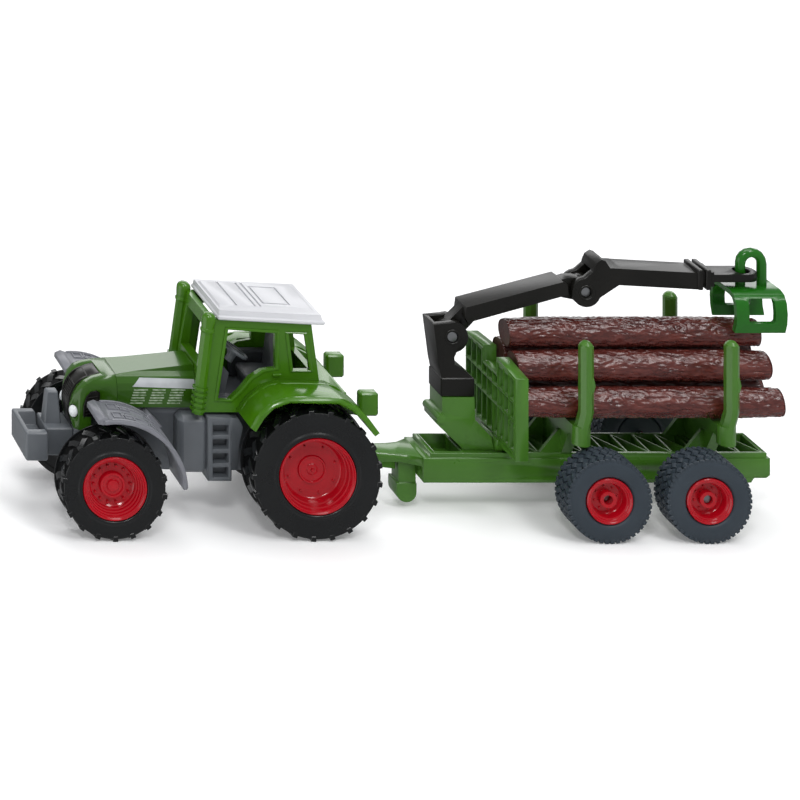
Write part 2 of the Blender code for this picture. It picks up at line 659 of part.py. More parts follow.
def build_headboard():
    low, shoulder, horn = 16.2, 35.6, 36.4
    panel = slab("YZ", HEADBOARD_X, HEADBOARD_X + HEADBOARD_T,
                 [(-HEADBOARD_HALF, low), (-HEADBOARD_HALF, shoulder), (-3.2, horn), (-3.2, 32.7),
                  (3.2, 32.7), (3.2, horn), (HEADBOARD_HALF, shoulder), (HEADBOARD_HALF, low)])
    columns, rows = 9, ((18.4, 24.9), (25.7, 29.3), (30.1, 34.6))
    pitch, rib = (2 * HEADBOARD_HALF - 1.4) / columns, 0.6
    pockets = []
    for i in range(columns):
        left = -HEADBOARD_HALF + 0.7 + i * pitch + rib / 2
        right = left + pitch - rib
        under_notch = abs(left + right) / 2 < 4.4
        for bottom, top in rows:
            pockets.append(block((HEADBOARD_X - 1, HEADBOARD_X + 1.4), (left, right),
                                 (bottom, min(top, 31.8) if under_notch else top)))
    cut(panel, *pockets)
    foot = block((HEADBOARD_X - 0.6, HEADBOARD_X + HEADBOARD_T + 0.6), (-4.2, 4.2),
                 (BEAM_TOP + FIT, low + 1.0))
    finish(join(panel, foot), "headboard", TRAILER_GREEN, TRAILER)


def build_pedestal():
    side = [(10.0, 26.9), (17.6, 26.9), (17.8, 21.6), (21.6, 17.6), (22.2, BEAM_TOP + FIT),
            (14.7, BEAM_TOP + FIT), (14.4, 15.2), (8.7, 20.6), (8.6, 22.2), (10.0, 23.4)]
    pedestal = slab("XZ", -3.5, 3.5, side)
    cross_rod = rod("Y", (9.6, 22.0), 1.1, -4.1, 4.1, 12)
    finish(join(pedestal, cross_rod), "crane_pedestal", TRAILER_GREEN, TRAILER)


def build_bunk(x, name):
    """A cross beam with gussets and two cranked stakes that hold the logs."""
    bed = LOG_ROW_Z[0] - LOG_R - 0.16
    beam = block((x - 1.5, x + 1.5), (-11.8, 11.8), (21.4, bed))
    web = slab("YZ", x - 1.2, x + 1.2, [(-5.2, BEAM_TOP + FIT), (5.2, BEAM_TOP + FIT),
                                        (9.4, 21.8), (-9.4, 21.8)])
    gussets = both_sides(slab("XZ", -4.9, -4.0, [
        (x - 6.0, BEAM_TOP + FIT), (x + 0.2, BEAM_TOP + FIT), (x + 0.2, 20.6), (x - 1.8, 19.8)]))
    stakes = []
    for side in (-1, 1):
        y = side * STAKE_Y
        foot = rod("Z", (x, side * 12.4), 2.1, 20.2, 24.6, 14)
        post = tube([(x, side * 12.7, 23.6), (x + 0.5, y, 28.4), (x + 0.5, y, STAKE_TOP - 1.2)],
                    STAKE_R)
        tip = ball((x + 0.5, y, STAKE_TOP - STAKE_R), (STAKE_R * 0.99,) * 3, 12)
        wart = ball((x + 1.2, y + side * 0.6, 34.8), (1.2, 1.2, 2.2), 8)
        stakes.append(join(foot, post, tip, wart))
    finish(join(beam, web, *gussets, *stakes), name, TRAILER_GREEN, TRAILER)


# ---------------------------------------------------------------- crane

def build_column():
    """A slewing block whose upper part is a fork round the boom's tongue."""
    pin_x, pin_z = BOOM_PIN
    base = block((9.7, 17.7), (-3.5, 3.5), (SLEW_Z + FIT, 31.4), edge=0.2)
    boss = arc((pin_x, pin_z), 3.7, 75, -75, 9)
    fork = slab("XZ", -3.2, 3.2, [(10.2, 30.0), (9.4, 34.0), (8.1, 43.9), (pin_x - 0.6, 44.3)] + boss
                + [(13.0, 36.2), (13.1, 34.5), (14.5, 33.7), (15.6, 33.0), (17.6, 31.2),
                   (17.6, 30.0)])
    column = join(base, fork)
    slot = slab("XZ", -TONGUE_HALF - 0.15, TONGUE_HALF + 0.15,
                arc((pin_x, pin_z), 3.5, 180, 300, 8) + [(22, 37.6), (22, 48), (8.9, 48)])
    bore = rod("Y", BOOM_PIN, PIN_R + 0.06, -5, 5, 16)
    finish(cut(column, slot, bore), "crane_column", BLACK, COLUMN)
    finish(rod("Y", BOOM_PIN, PIN_R, -3.1, 3.1, 16), "boom_pin", STEEL, COLUMN)


def along_boom(distance, rise):
    """A point by its distance from the lower pin along the boom, and its height above it."""
    low, high = Vector(BOOM_PIN), Vector(ELBOW_PIN)
    along = (high - low).normalized()
    return tuple(low + along * distance + Vector((-along.y, along.x)) * rise)


def build_boom():
    length = (Vector(ELBOW_PIN) - Vector(BOOM_PIN)).length
    box = slab("XZ", -CRANE_HALF, CRANE_HALF,
               [(17.6, 44.75), (16.7, 43.8), (15.6, 45.6), (15.9, 48.0), (38.9, 54.05),
                (39.9, 53.4), (40.1, 51.0)])
    lower_tongue = slab("XZ", -TONGUE_HALF, TONGUE_HALF,
                        [along_boom(0.0, -2.4), along_boom(5.6, 0.6), (20.0, 46.0), (18.0, 48.0),
                         (15.9, 47.6), along_boom(0.0, 2.6)])
    upper_tongue = slab("XZ", -TONGUE_HALF, TONGUE_HALF,
                        [(36.0, 50.4), along_boom(length, -3.1), along_boom(length, 3.1),
                         (40.6, 54.3), (36.0, 53.0)])
    ends = [rod("Y", pin, radius, -TONGUE_HALF + 0.02, TONGUE_HALF - 0.02, 20)
            for pin, radius in ((BOOM_PIN, 2.9), (ELBOW_PIN, 3.2))]
    bores = [rod("Y", pin, PIN_R + 0.08, -5, 5, 16) for pin in (BOOM_PIN, ELBOW_PIN)]
    finish(cut(join(box, lower_tongue, upper_tongue, *ends), *bores), "boom", BLACK, BOOM)


def build_jib():
    """The outer arm: a fork with a hood at the elbow, a box, a collar and an eye plate."""
    fork = slab("XZ", -CRANE_HALF, CRANE_HALF,
                arc(ELBOW_PIN, 3.4, 95, 340, 14) + [(52.7, 53.7), (52.7, 57.2), (50.0, 57.3),
                                                    (48.9, 59.0), (48.0, 59.3), (46.8, 58.5),
                                                    (46.3, 57.4), (46.0, 56.4)])
    box = block((50.0, 71.8), (-CRANE_HALF, CRANE_HALF), (53.4, 57.3))
    slope = Matrix.Identity(4)
    slope[2][0] = -1.2 / 21.8
    slope[2][3] = 50.0 * 1.2 / 21.8 * MM
    box.data.transform(slope)
    collars = [block((x, x + 1.2), (-CRANE_HALF - 0.4, CRANE_HALF + 0.4), (52.2, 57.0), edge=0.2)
               for x in (70.7, 72.6)]
    neck = block((70.0, 74.8), (-2.8, 2.8), (52.8, 56.2))
    plate_end = arc((83.3, 0), 2.7, -90, 90, 8)
    plate = slab("XY", 53.8, 55.6, [(73.0, -2.7)] + plate_end + [(73.0, 2.7)])
    jib = join(box, fork, *collars, neck, plate)
    slot = slab("XZ", -TONGUE_HALF - 0.15, TONGUE_HALF + 0.15,
                [(36, 46), (44.4, 46.0)] + arc(ELBOW_PIN, 3.5, 290, 405, 8)
                + [(47.6, 55.4), (47.2, 56.6), (36, 56.6)])
    bore = rod("Y", ELBOW_PIN, PIN_R + 0.06, -5, 5, 16)
    eye = rod("Z", (EYE_X, 0), 1.95, 50, 60, 18)
    finish(cut(jib, slot, bore, eye), "jib", BLACK, JIB)
    finish(rod("Y", ELBOW_PIN, PIN_R, -2.6, 2.6, 16), "elbow_pin", STEEL, JIB)


def build_grapple():
    """A lifting loop on an arched grab with a window in each jaw."""
    legs, leg_r, crown = (82.4, 87.5), 1.15, 57.3
    bend = (legs[1] - legs[0]) / 2
    route = [(legs[0], 0, 51.5)] + [(x, 0, z) for x, z in
                                    arc((sum(legs) / 2, crown), bend, 180, 0, 8)]
    loop = tube(route + [(legs[1], 0, 51.5)], leg_r, 2)
    jaw_line = [(-4.8, 42.9), (-5.6, 45.2), (-5.8, 47.6), (-5.4, 49.9), (-4.4, 51.4), (-2.8, 51.9),
                (2.8, 51.9), (4.4, 51.4), (5.4, 49.9), (5.8, 47.6), (5.6, 45.2), (4.8, 42.9)]
    grab = slab("YZ", 78.4, 90.4, strip(jaw_line, -0.9, 0.3))
    window = block((81.4, 87.6), (-8, 8), (45.4, 50.9), edge=0.5)
    finish(join(cut(grab, window), loop), "grapple", GREEN, GRAPPLE)


# ---------------------------------------------------------------- logs

def build_log(name, y, z, start, end, phase):
    """A slightly uneven trunk, never wider than its own radius."""
    bm = bmesh.new()
    rings, sides = 6, 12
    loops = []
    for i in range(rings + 1):
        x = start + (end - start) * i / rings
        shrink = 0.25 if i in (0, rings) else 0.0
        loop = []
        for j in range(sides):
            angle = math.tau * j / sides
            bumps = 0.07 * math.sin(3 * angle + phase + i) + 0.05 * math.sin(2.1 * i + phase)
            r = LOG_R - 0.12 - shrink + bumps
            loop.append(bm.verts.new(Vector((x, y + r * math.cos(angle),
                                             z + r * math.sin(angle))) * MM))
        loops.append(loop)
    for a, b in zip(loops, loops[1:]):
        for j in range(sides):
            bm.faces.new((a[j], a[(j + 1) % sides], b[(j + 1) % sides], b[j]))
    bm.faces.new(loops[0])
    bm.faces.new(loops[-1])
    finish(from_bmesh(bm), name, BARK, LOAD, 50)


def build_logs():
    number = 1
    for row, z in enumerate(LOG_ROW_Z):
        in_row = 3 - row
        for i in range(in_row):
            y = (i - (in_row - 1) / 2) * LOG_PITCH
            build_log(f"log_{number}", y, z, LOG_STARTS[row] + 0.3 * i, LOG_ENDS[row] - 0.4 * i,
                      1.3 * number)
            number += 1


# ---------------------------------------------------------------- the whole toy

def build():
    build_nose()
    build_bonnet()
    build_cab()
    build_roof()
    build_interior()
    build_steering_wheel()
    build_rear_fenders()
    build_front_fender()
    build_chassis()
    build_weight()
    build_hitch()
    build_trailer_frame()
    build_support_leg()
    build_headboard()
    build_pedestal()
    for x, name in zip(BUNK_XS, ("front_bunk", "rear_bunk")):
        build_bunk(x, name)
    build_column()
    build_boom()
    build_jib()
    build_grapple()
    build_logs()
    wheel_set("front", FRONT_WHEEL, ROOT, TYRE, 3.1, 2.2, 1.0)
    wheel_set("rear", REAR_WHEEL, ROOT, TYRE, 4.2, 1.6, 0.7)
    wheel_set("trailer_front", TRAILER_FRONT_WHEEL, TRAILER, GREY_TYRE, 2.4, 1.9, 1.6, sunk=1.8)
    wheel_set("trailer_rear", TRAILER_REAR_WHEEL, TRAILER, GREY_TYRE, 2.4, 1.9, 1.6, sunk=0.9)


build()
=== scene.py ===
"""Looks of the toy tractor and its log trailer with a crane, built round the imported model."""
import json
import math

import bmesh
import bpy
from mathutils import Matrix, Vector, noise


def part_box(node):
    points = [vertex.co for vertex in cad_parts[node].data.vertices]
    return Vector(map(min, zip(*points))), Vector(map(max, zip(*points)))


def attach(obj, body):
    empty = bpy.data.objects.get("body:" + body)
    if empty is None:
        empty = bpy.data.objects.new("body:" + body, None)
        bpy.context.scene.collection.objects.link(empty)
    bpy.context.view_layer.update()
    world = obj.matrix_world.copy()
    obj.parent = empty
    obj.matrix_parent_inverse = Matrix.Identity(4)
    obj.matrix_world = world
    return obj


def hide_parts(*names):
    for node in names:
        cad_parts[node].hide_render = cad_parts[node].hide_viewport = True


MM = 0.001
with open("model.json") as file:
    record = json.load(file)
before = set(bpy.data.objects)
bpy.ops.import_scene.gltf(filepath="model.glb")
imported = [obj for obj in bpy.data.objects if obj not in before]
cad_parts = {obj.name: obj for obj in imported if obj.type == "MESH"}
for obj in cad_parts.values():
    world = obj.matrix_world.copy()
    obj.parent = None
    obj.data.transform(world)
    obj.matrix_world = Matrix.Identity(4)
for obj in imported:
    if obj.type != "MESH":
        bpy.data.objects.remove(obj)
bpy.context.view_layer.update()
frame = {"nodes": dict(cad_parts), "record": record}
NODES = frame["nodes"]


# ---------------------------------------------------------------- materials

def new_material(name):
    """A material, its shader and a function that adds and wires nodes."""
    material = bpy.data.materials.new(name)
    material.use_nodes = True
    tree = material.node_tree
    shader = tree.nodes["Principled BSDF"]

    def add(kind, inputs=None, **settings):
        node = tree.nodes.new(kind)
        for key, value in settings.items():
            setattr(node, key, value)
        for key, value in (inputs or {}).items():
            if isinstance(value, bpy.types.NodeSocket):
                tree.links.new(value, node.inputs[key])
            else:
                node.inputs[key].default_value = value
        return node

    return material, tree, shader, add


def ramp(add, factor, stops):
    """A colour ramp from (position, colour) stops."""
    node = add("ShaderNodeValToRGB", {"Fac": factor})
    elements = node.color_ramp.elements
    while len(elements) < len(stops):
        elements.new(0.5)
    for element, (position, colour) in zip(elements, stops):
        element.position = position
        element.color = (*colour, 1.0)
    return node.outputs["Color"]


def wire_surface(tree, shader, add, gloss_map, roughness, bump_map, strength, depth):
    """Uneven gloss from one texture, between two roughness values, and bumps from another."""
    gloss = add("ShaderNodeMapRange", {"Value": gloss_map.outputs["Fac"],
                                       "To Min": roughness[0], "To Max": roughness[1]})
    tree.links.new(gloss.outputs["Result"], shader.inputs["Roughness"])
    bumps = add("ShaderNodeBump", {"Height": bump_map.outputs["Fac"], "Strength": strength,
                                   "Distance": depth * MM})
    tree.links.new(bumps.outputs["Normal"], shader.inputs["Normal"])


def mottled(name, light, dark, roughness, bump, grain=0.4, patch=9.0, specular=0.5, coat=0.0,
            metallic=0.0, coat_roughness=0.05):
    """A moulded or painted surface: patchy colour, uneven gloss and a fine grain."""
    material, tree, shader, add = new_material(name)
    place = add("ShaderNodeTexCoord").outputs["Object"]
    patches = add("ShaderNodeTexNoise", {"Vector": place, "Scale": 1 / (patch * MM), "Detail": 4.0})
    fine = add("ShaderNodeTexNoise", {"Vector": place, "Scale": 1 / (grain * MM), "Detail": 3.0})
    tree.links.new(ramp(add, patches.outputs["Fac"], [(0.3, dark), (0.7, light)]),
                   shader.inputs["Base Color"])
    wire_surface(tree, shader, add, patches, roughness, fine, bump, 0.05)
    shader.inputs["Specular IOR Level"].default_value = specular
    shader.inputs["Coat Weight"].default_value = coat
    shader.inputs["Coat Roughness"].default_value = coat_roughness
    shader.inputs["Metallic"].default_value = metallic
    return material


GREEN = mottled("glossy_green_paint", (0.03, 0.1, 0.004), (0.025, 0.086, 0.003), (0.17, 0.27),
                0.12, grain=1.6, patch=14, specular=0.42, coat=0.3)
CAB_GREEN = mottled("moulded_green_plastic", (0.05, 0.165, 0.003), (0.043, 0.146, 0.0025),
                    (0.18, 0.28), 0.12, grain=1.4, patch=11, specular=0.4, coat=0.25)
TRAILER_GREEN = mottled("trailer_green_paint", (0.06, 0.176, 0.018), (0.05, 0.152, 0.014),
                        (0.24, 0.34), 0.2, grain=0.8, patch=10, specular=0.4, coat=0.3,
                        coat_roughness=0.1)
CRANE_GREEN = mottled("glossy_green_plastic", (0.012, 0.125, 0.007), (0.01, 0.105, 0.005),
                      (0.14, 0.24), 0.12, grain=1.4, patch=8, specular=0.38, coat=0.2)
GREY = mottled("grey_plastic", (0.118, 0.13, 0.144), (0.098, 0.108, 0.12), (0.32, 0.44), 0.25,
               grain=0.5)
# The cab interior's grey plastic, darkened as painted shade for the shadow inside the cab.
CAB_SHADE_GREY = mottled("cab_interior_shade_grey", (0.058, 0.063, 0.071), (0.048, 0.052, 0.06), (0.35, 0.46),
                    0.3, grain=0.4)
FENDER_GREY = mottled("pale_grey_plastic", (0.19, 0.195, 0.218), (0.16, 0.164, 0.186),
                      (0.3, 0.42), 0.25, grain=0.5)
BLACK = mottled("black_plastic", (0.008, 0.0076, 0.006), (0.0055, 0.0052, 0.0042), (0.26, 0.38),
                0.3, grain=0.5, specular=0.36)
WHITE = mottled("white_plastic", (0.61, 0.615, 0.64), (0.575, 0.58, 0.605), (0.32, 0.42), 0.15,
                specular=0.35)
RED = mottled("red_plastic", (0.43, 0.002, 0.01), (0.36, 0.0015, 0.008), (0.14, 0.24), 0.1,
              grain=1.2, specular=0.42, coat=0.3)
TYRE = mottled("black_rubber", (0.0065, 0.0075, 0.008), (0.0045, 0.005, 0.0055), (0.22, 0.34), 0.3,
               grain=0.35, specular=0.5)
GREY_TYRE = mottled("grey_rubber", (0.034, 0.047, 0.061), (0.026, 0.037, 0.049), (0.4, 0.52), 0.5,
                    grain=0.3, specular=0.42)
# Near-black rubber between the tread's bars, on the black and the grey tyres alike: painted shade
# for the shadow in the grooves.
PAINTED_GROOVE_SHADE = mottled("tread_groove_painted_shade", (0.0022, 0.0024, 0.0026), (0.0014, 0.0015, 0.0016), (0.6, 0.75),
                 0.3, specular=0.12)
STEEL = mottled("dull_steel", (0.42, 0.43, 0.44), (0.32, 0.33, 0.34), (0.26, 0.42), 0.3,
                grain=0.3, metallic=1.0)
LAMP = mottled("white_lens", (0.86, 0.89, 0.91), (0.8, 0.83, 0.86), (0.08, 0.14), 0.05, coat=0.5)


def bark_material():
    """Dark red-brown moulded bark with fine fibres along the log."""
    material, tree, shader, add = new_material("brown_bark_plastic")
    place = add("ShaderNodeTexCoord").outputs["Object"]
    along = add("ShaderNodeMapping", {"Vector": place, "Scale": (0.26, 1.0, 1.0)}).outputs["Vector"]
    fibres = add("ShaderNodeTexNoise", {"Vector": along, "Scale": 1 / (0.5 * MM), "Detail": 6.0,
                                        "Roughness": 0.62, "Distortion": 0.5})
    patches = add("ShaderNodeTexNoise", {"Vector": along, "Scale": 1 / (1.6 * MM), "Detail": 3.0})
    both = add("ShaderNodeMath", {0: fibres.outputs["Fac"], 1: patches.outputs["Fac"]},
               operation="ADD")
    half = add("ShaderNodeMath", {0: both.outputs["Value"], 1: 0.5}, operation="MULTIPLY")
    tree.links.new(ramp(add, half.outputs["Value"], [
        (0.36, (0.05, 0.009, 0.007)), (0.5, (0.088, 0.016, 0.012)),
        (0.64, (0.135, 0.03, 0.022))]), shader.inputs["Base Color"])
    wire_surface(tree, shader, add, fibres, (0.08, 0.3), fibres, 0.85, 0.16)
    shader.inputs["Specular IOR Level"].default_value = 0.65
    shader.inputs["Coat Weight"].default_value = 0.3
    shader.inputs["Coat Roughness"].default_value = 0.12
    return material


BARK = bark_material()
CUT_END = mottled("cut_wood_plastic", (0.1, 0.029, 0.023), (0.055, 0.014, 0.011), (0.34, 0.5),
                  0.5, grain=0.4, patch=2)
SILVER = mottled("silver_print", (0.5, 0.52, 0.54), (0.4, 0.42, 0.44), (0.25, 0.4), 0.1, patch=3)
PALE_DASH = mottled("pale_green_print", (0.5, 0.6, 0.45), (0.08, 0.16, 0.05), (0.3, 0.45), 0.2,
                    patch=0.7)

SLOT_MATERIALS = {
    "tractor_green": GREEN, "trailer_green": TRAILER_GREEN, "crane_green": CRANE_GREEN,
    "grey_plastic": GREY, "black_plastic": BLACK, "white_plastic": WHITE, "red_rim": RED,
    "tractor_tyre": TYRE, "trailer_tyre": GREY_TYRE, "steel": STEEL, "lamp_white": LAMP,
    "log_brown": BARK,
}
# Nodes whose look differs from their slot's. The cab interior's darker grey is painted shade for
# the shadow inside the cab.
NODE_LOOK = {"cab_interior": CAB_SHADE_GREY, "cab_frame": CAB_GREEN, "rear_fenders": CAB_GREEN,
             "front_fender_left": FENDER_GREY, "front_fender_right": FENDER_GREY}
NODE_SLOT = {part["node"]: part["material_slot"] for part in frame["record"]["subparts"]}
NODE_BODY = {node: body for body, nodes in frame["record"]["behaviour"]["bodies"].items()
             for node in nodes}


# ---------------------------------------------------------------- CAD nodes

# Nodes whose edges lie close together take a finer bevel. Moulded nodes are round already: they
# take none, and only their edges over the given angle in degrees stay sharp.
LATTICES = ("chassis_base", "headboard", "trailer_frame", "front_fender_left",
            "front_fender_right")
MOULDED = {"front_bunk": 28, "rear_bunk": 28, "grapple": 50, "steering_wheel": 50, "cab_frame": 30,
            "bonnet": 11}
EDGE, LATTICE_EDGE = 0.22, 0.13     # bevel widths in mm
BEVEL_ANGLE = 28                    # degrees


def soften(node):
    """Round a CAD node's edges and shade it smoothly, with modifiers only."""
    obj = NODES[node]
    lattice = node in LATTICES
    obj.data.materials.clear()
    obj.data.materials.append(NODE_LOOK.get(node, SLOT_MATERIALS[NODE_SLOT[node]]))
    obj.data.shade_smooth()
    weld = obj.modifiers.new("weld", "WELD")
    weld.merge_threshold = 0.001 * MM
    if node in MOULDED:
        split = obj.modifiers.new("sharp edges", "EDGE_SPLIT")
        split.split_angle = math.radians(MOULDED[node])
        return
    if not lattice:
        flat = obj.modifiers.new("flat faces", "DECIMATE")
        flat.decimate_type = "DISSOLVE"
        flat.angle_limit = math.radians(0.5)
    bevel = obj.modifiers.new("edges", "BEVEL")
    bevel.width = (LATTICE_EDGE if lattice else EDGE) * MM
    bevel.segments = 1 if lattice else 2
    bevel.limit_method = "ANGLE"
    bevel.angle_limit = math.radians(BEVEL_ANGLE)
    bevel.harden_normals = True
    bevel.use_clamp_overlap = not lattice
    bevel.miter_outer = "MITER_ARC"


for name in NODES:
    soften(name)


# ---------------------------------------------------------------- meshes

def box_mm(node):
    """A CAD node's lowest and highest corner in mm."""
    return tuple(Vector(corner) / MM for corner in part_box(node))


def link(name, data):
    """A new object in the scene with this mesh, light, camera or nothing in it."""
    obj = bpy.data.objects.new(name, data)
    bpy.context.scene.collection.objects.link(obj)
    return obj


def scaled(bm, matrix=Matrix.Scale(MM, 4)):
    """Take a bmesh from mm to metres, or to a place."""
    bmesh.ops.transform(bm, matrix=matrix, verts=bm.verts)


def mesh_of(name, bm, smooth_angle):
    """Finish a bmesh as a linked object with smooth shading kept off its sharp edges."""
    bmesh.ops.recalc_face_normals(bm, faces=bm.faces)
    mesh = bpy.data.meshes.new(name)
    bm.to_mesh(mesh)
    bm.free()
    mesh.shade_smooth()
    mesh.set_sharp_from_angle(angle=math.radians(smooth_angle))
    return link(name, mesh)


def stand_for(piece, node):
    """Ride with a CAD node's body, take its slot and hide it."""
    piece.data.materials.append(SLOT_MATERIALS[NODE_SLOT[node]])
    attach(piece, NODE_BODY[node])
    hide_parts(node)
    return piece


def angles_round(count):
    """Even angles round a full turn."""
    return [math.tau * k / count for k in range(count)]


def grid_faces(bm, rings, closed=False):
    """Faces between successive rings of vertices, each ring closed on itself; closed joins the
    last ring to the first."""
    for a, b in zip(rings, rings[1:] + rings[:1] if closed else rings[1:]):
        for i in range(len(a)):
            j = (i + 1) % len(a)
            bm.faces.new((a[i], a[j], b[j], b[i]))


def capped(bm, rings):
    """Faces between successive rings of vertices, with both end rings filled."""
    grid_faces(bm, rings)
    bm.faces.new(rings[0][::-1])
    bm.faces.new(rings[-1])


def turned(bm, profile, steps):
    """A closed profile of (radius, height) points in mm turned about Z."""
    grid_faces(bm, [[bm.verts.new((r * math.cos(angle), r * math.sin(angle), h))
                     for r, h in profile] for angle in angles_round(steps)], closed=True)


def smooth_line(points, steps):
    """Points along a Catmull-Rom curve through the given ones."""
    line = []
    ends = [2 * Vector(points[0]) - Vector(points[1])] + [Vector(p) for p in points] + [
        2 * Vector(points[-1]) - Vector(points[-2])]
    for a, b, c, d in zip(ends, ends[1:], ends[2:], ends[3:]):
        for k in range(steps):
            t = k / steps
            line.append(0.5 * ((2 * b) + (c - a) * t + (2 * a - 5 * b + 4 * c - d) * t * t
                               + (3 * b - a - 3 * c + d) * t ** 3))
    line.append(ends[-2])
    return line


# ---------------------------------------------------------------- wheels

TYRE_STEPS, RIM_STEPS = 96, 80      # faces round a turn


def wheel_frame(node):
    """Axle-centred frame of a wheel in mm: Z points outwards from the wheel's inner face."""
    low, high = box_mm(node)
    side = -1 if low.y < 0 else 1
    centre = (low + high) / 2
    inner_y = high.y if side < 0 else low.y
    radius, width = (high.z - low.z) / 2, high.y - low.y
    turn = Matrix.Rotation(math.pi / 2 * -side, 4, "X")
    matrix = Matrix.Scale(MM, 4) @ Matrix.Translation((centre.x, inner_y, centre.z)) @ turn
    return matrix, radius, width


def lug(bm, radius, path, root, tip, height):
    """One tread bar: its middle line as (angle, height over the inner face) points, its
    half-widths in mm at the carcass and at the crown, and how far it stands out."""
    loops = []
    for k, (angle, z) in enumerate(path):
        a, b = path[max(k - 1, 0)], path[min(k + 1, len(path) - 1)]
        along = Vector(((b[0] - a[0]) * radius, b[1] - a[1])).normalized()
        across = Vector((-along.y, along.x))
        loop = []
        fall = 0.35 if k in (0, len(path) - 1) else 0.0
        for half, rise in ((root, -0.45), (tip, height - fall), (-tip, height - fall),
                           (-root, -0.45)):
            spin = angle + across.x * half / radius
            r = radius + rise
            loop.append(bm.verts.new((r * math.cos(spin), r * math.sin(spin), z + across.y * half)))
        loops.append(loop)
    capped(bm, loops)


def kept_inside(bm, radius, width):
    """Pull a wheel's stray vertices back inside its CAD radius and width."""
    for vert in bm.verts:
        vert.co.z = min(max(vert.co.z, 0.0), width)
        reach = math.hypot(vert.co.x, vert.co.y)
        if reach > radius:
            vert.co.x, vert.co.y = vert.co.x * radius / reach, vert.co.y * radius / reach


def carcass_ring(bm, wall, width, inner_web):
    """The tyre's body from one sidewall's (radius, height) points, mirrored to the other face."""
    half_profile = smooth_line(wall, 3)
    profile = [tuple(p) for p in half_profile] + [(p[0], width - p[1]) for p in half_profile[::-1]]
    turned(bm, profile + inner_web, TYRE_STEPS)


def paint_groove_shade_faces(bm, radius, width):
    """Give the carcass between the tread's bars the near-black groove material, painted shade for
    the shadow down in the grooves.
    """
    for face in bm.faces:
        middle = face.calc_center_median()
        if math.hypot(middle.x, middle.y) > radius and 0.7 < middle.z < width - 0.7:
            face.material_index = 1


def block(bm, angles, radii, heights, bevel):
    """A small block on a tyre between two angles, radii and heights over the inner face, its
    edges bevelled."""
    (start, end), (low, high) = angles, heights
    inner, outer = ([bm.verts.new((r * math.cos(a), r * math.sin(a), z))
                     for a, z in ((start, low), (end, low), (end, high), (start, high))]
                    for r in radii)
    faces = [bm.faces.new(inner[::-1]), bm.faces.new(outer)]
    for i in range(4):
        j = (i + 1) % 4
        faces.append(bm.faces.new((inner[i], inner[j], outer[j], outer[i])))
    edges = {edge for face in faces for edge in face.edges}
    bmesh.ops.bevel(bm, geom=list(edges), offset=bevel, segments=1, affect="EDGES", profile=0.6,
                    clamp_overlap=True)


def tyre_piece(bm, node, matrix, radius, width, kind):
    """Finish a tyre, named for its kind of tread, in its CAD node's place."""
    kept_inside(bm, radius, width)
    scaled(bm, matrix)
    piece = stand_for(mesh_of(node.replace("tyre", kind), bm, 34), node)
    # The second material is the grooves' painted shade.
    piece.data.materials.append(PAINTED_GROOVE_SHADE)


def field_tyre(node, rim, bars, inner_web):
    """A tractor tyre: flat sidewalls round a thick bead, two rows of broad slanting bars with
    square ends on the outer shoulder, and a thin ring round the inner one."""
    matrix, radius, width = wheel_frame(node)
    bm = bmesh.new()
    carcass, stand = radius - 0.62, 0.36        # the tread's floor, and its bars' height over it
    carcass_ring(bm, [(rim - 0.05, width - 0.7), (rim + 0.03, width - 0.22), (rim + 0.3, width),
                      (rim + 0.7, width - 0.08), (rim + 1.1, width - 0.34),
                      (rim + 1.5, width - 0.46), (0.5 * (rim + 1.5 + carcass), width - 0.48),
                      (carcass - 0.32, width - 0.48), (carcass - 0.12, width - 0.4),
                      (carcass, width - 0.5), (carcass + 0.02, width - 0.9),
                      (carcass + 0.02, width - 1.6)], width, inner_web)
    paint_groove_shade_faces(bm, carcass - 0.05, width)
    turned(bm, [(carcass - 0.6, 0.15), (radius - 0.14, 0.2), (radius - 0.08, 0.35),
                (radius - 0.14, 0.5), (carcass - 0.6, 0.6)], TYRE_STEPS)
    middle = width / 2
    bar_end = middle - 1.35                     # how far from the middle a bar reaches
    pitch = math.tau / bars
    tab_half = 0.62 / radius
    for row, direction in ((0, 1), (1, -1)):
        for k in range(bars):
            start = (k + 0.5 * row) * pitch
            end_angle = start + pitch * 0.55
            lug(bm, carcass, [(start, middle - direction * 0.35),
                              (start + pitch * 0.22, middle + direction * 0.3 * middle),
                              (start + pitch * 0.45, middle + direction * 0.62 * middle),
                              (end_angle, middle + direction * bar_end)], 0.86, 0.72, stand)
            if direction > 0:
                block(bm, (end_angle - tab_half, end_angle + tab_half),
                      (carcass - 0.6, radius - 0.02), (width - 1.8, width - 0.38), 0.1)
            step = end_angle - pitch * 0.5
            lug(bm, carcass, [(step - 0.014, middle + direction * (middle - 2.3)),
                              (step + 0.014, middle + direction * bar_end)], 0.5, 0.42,
                stand * 0.8)
    tyre_piece(bm, node, matrix, radius, width, "treaded_tyre")


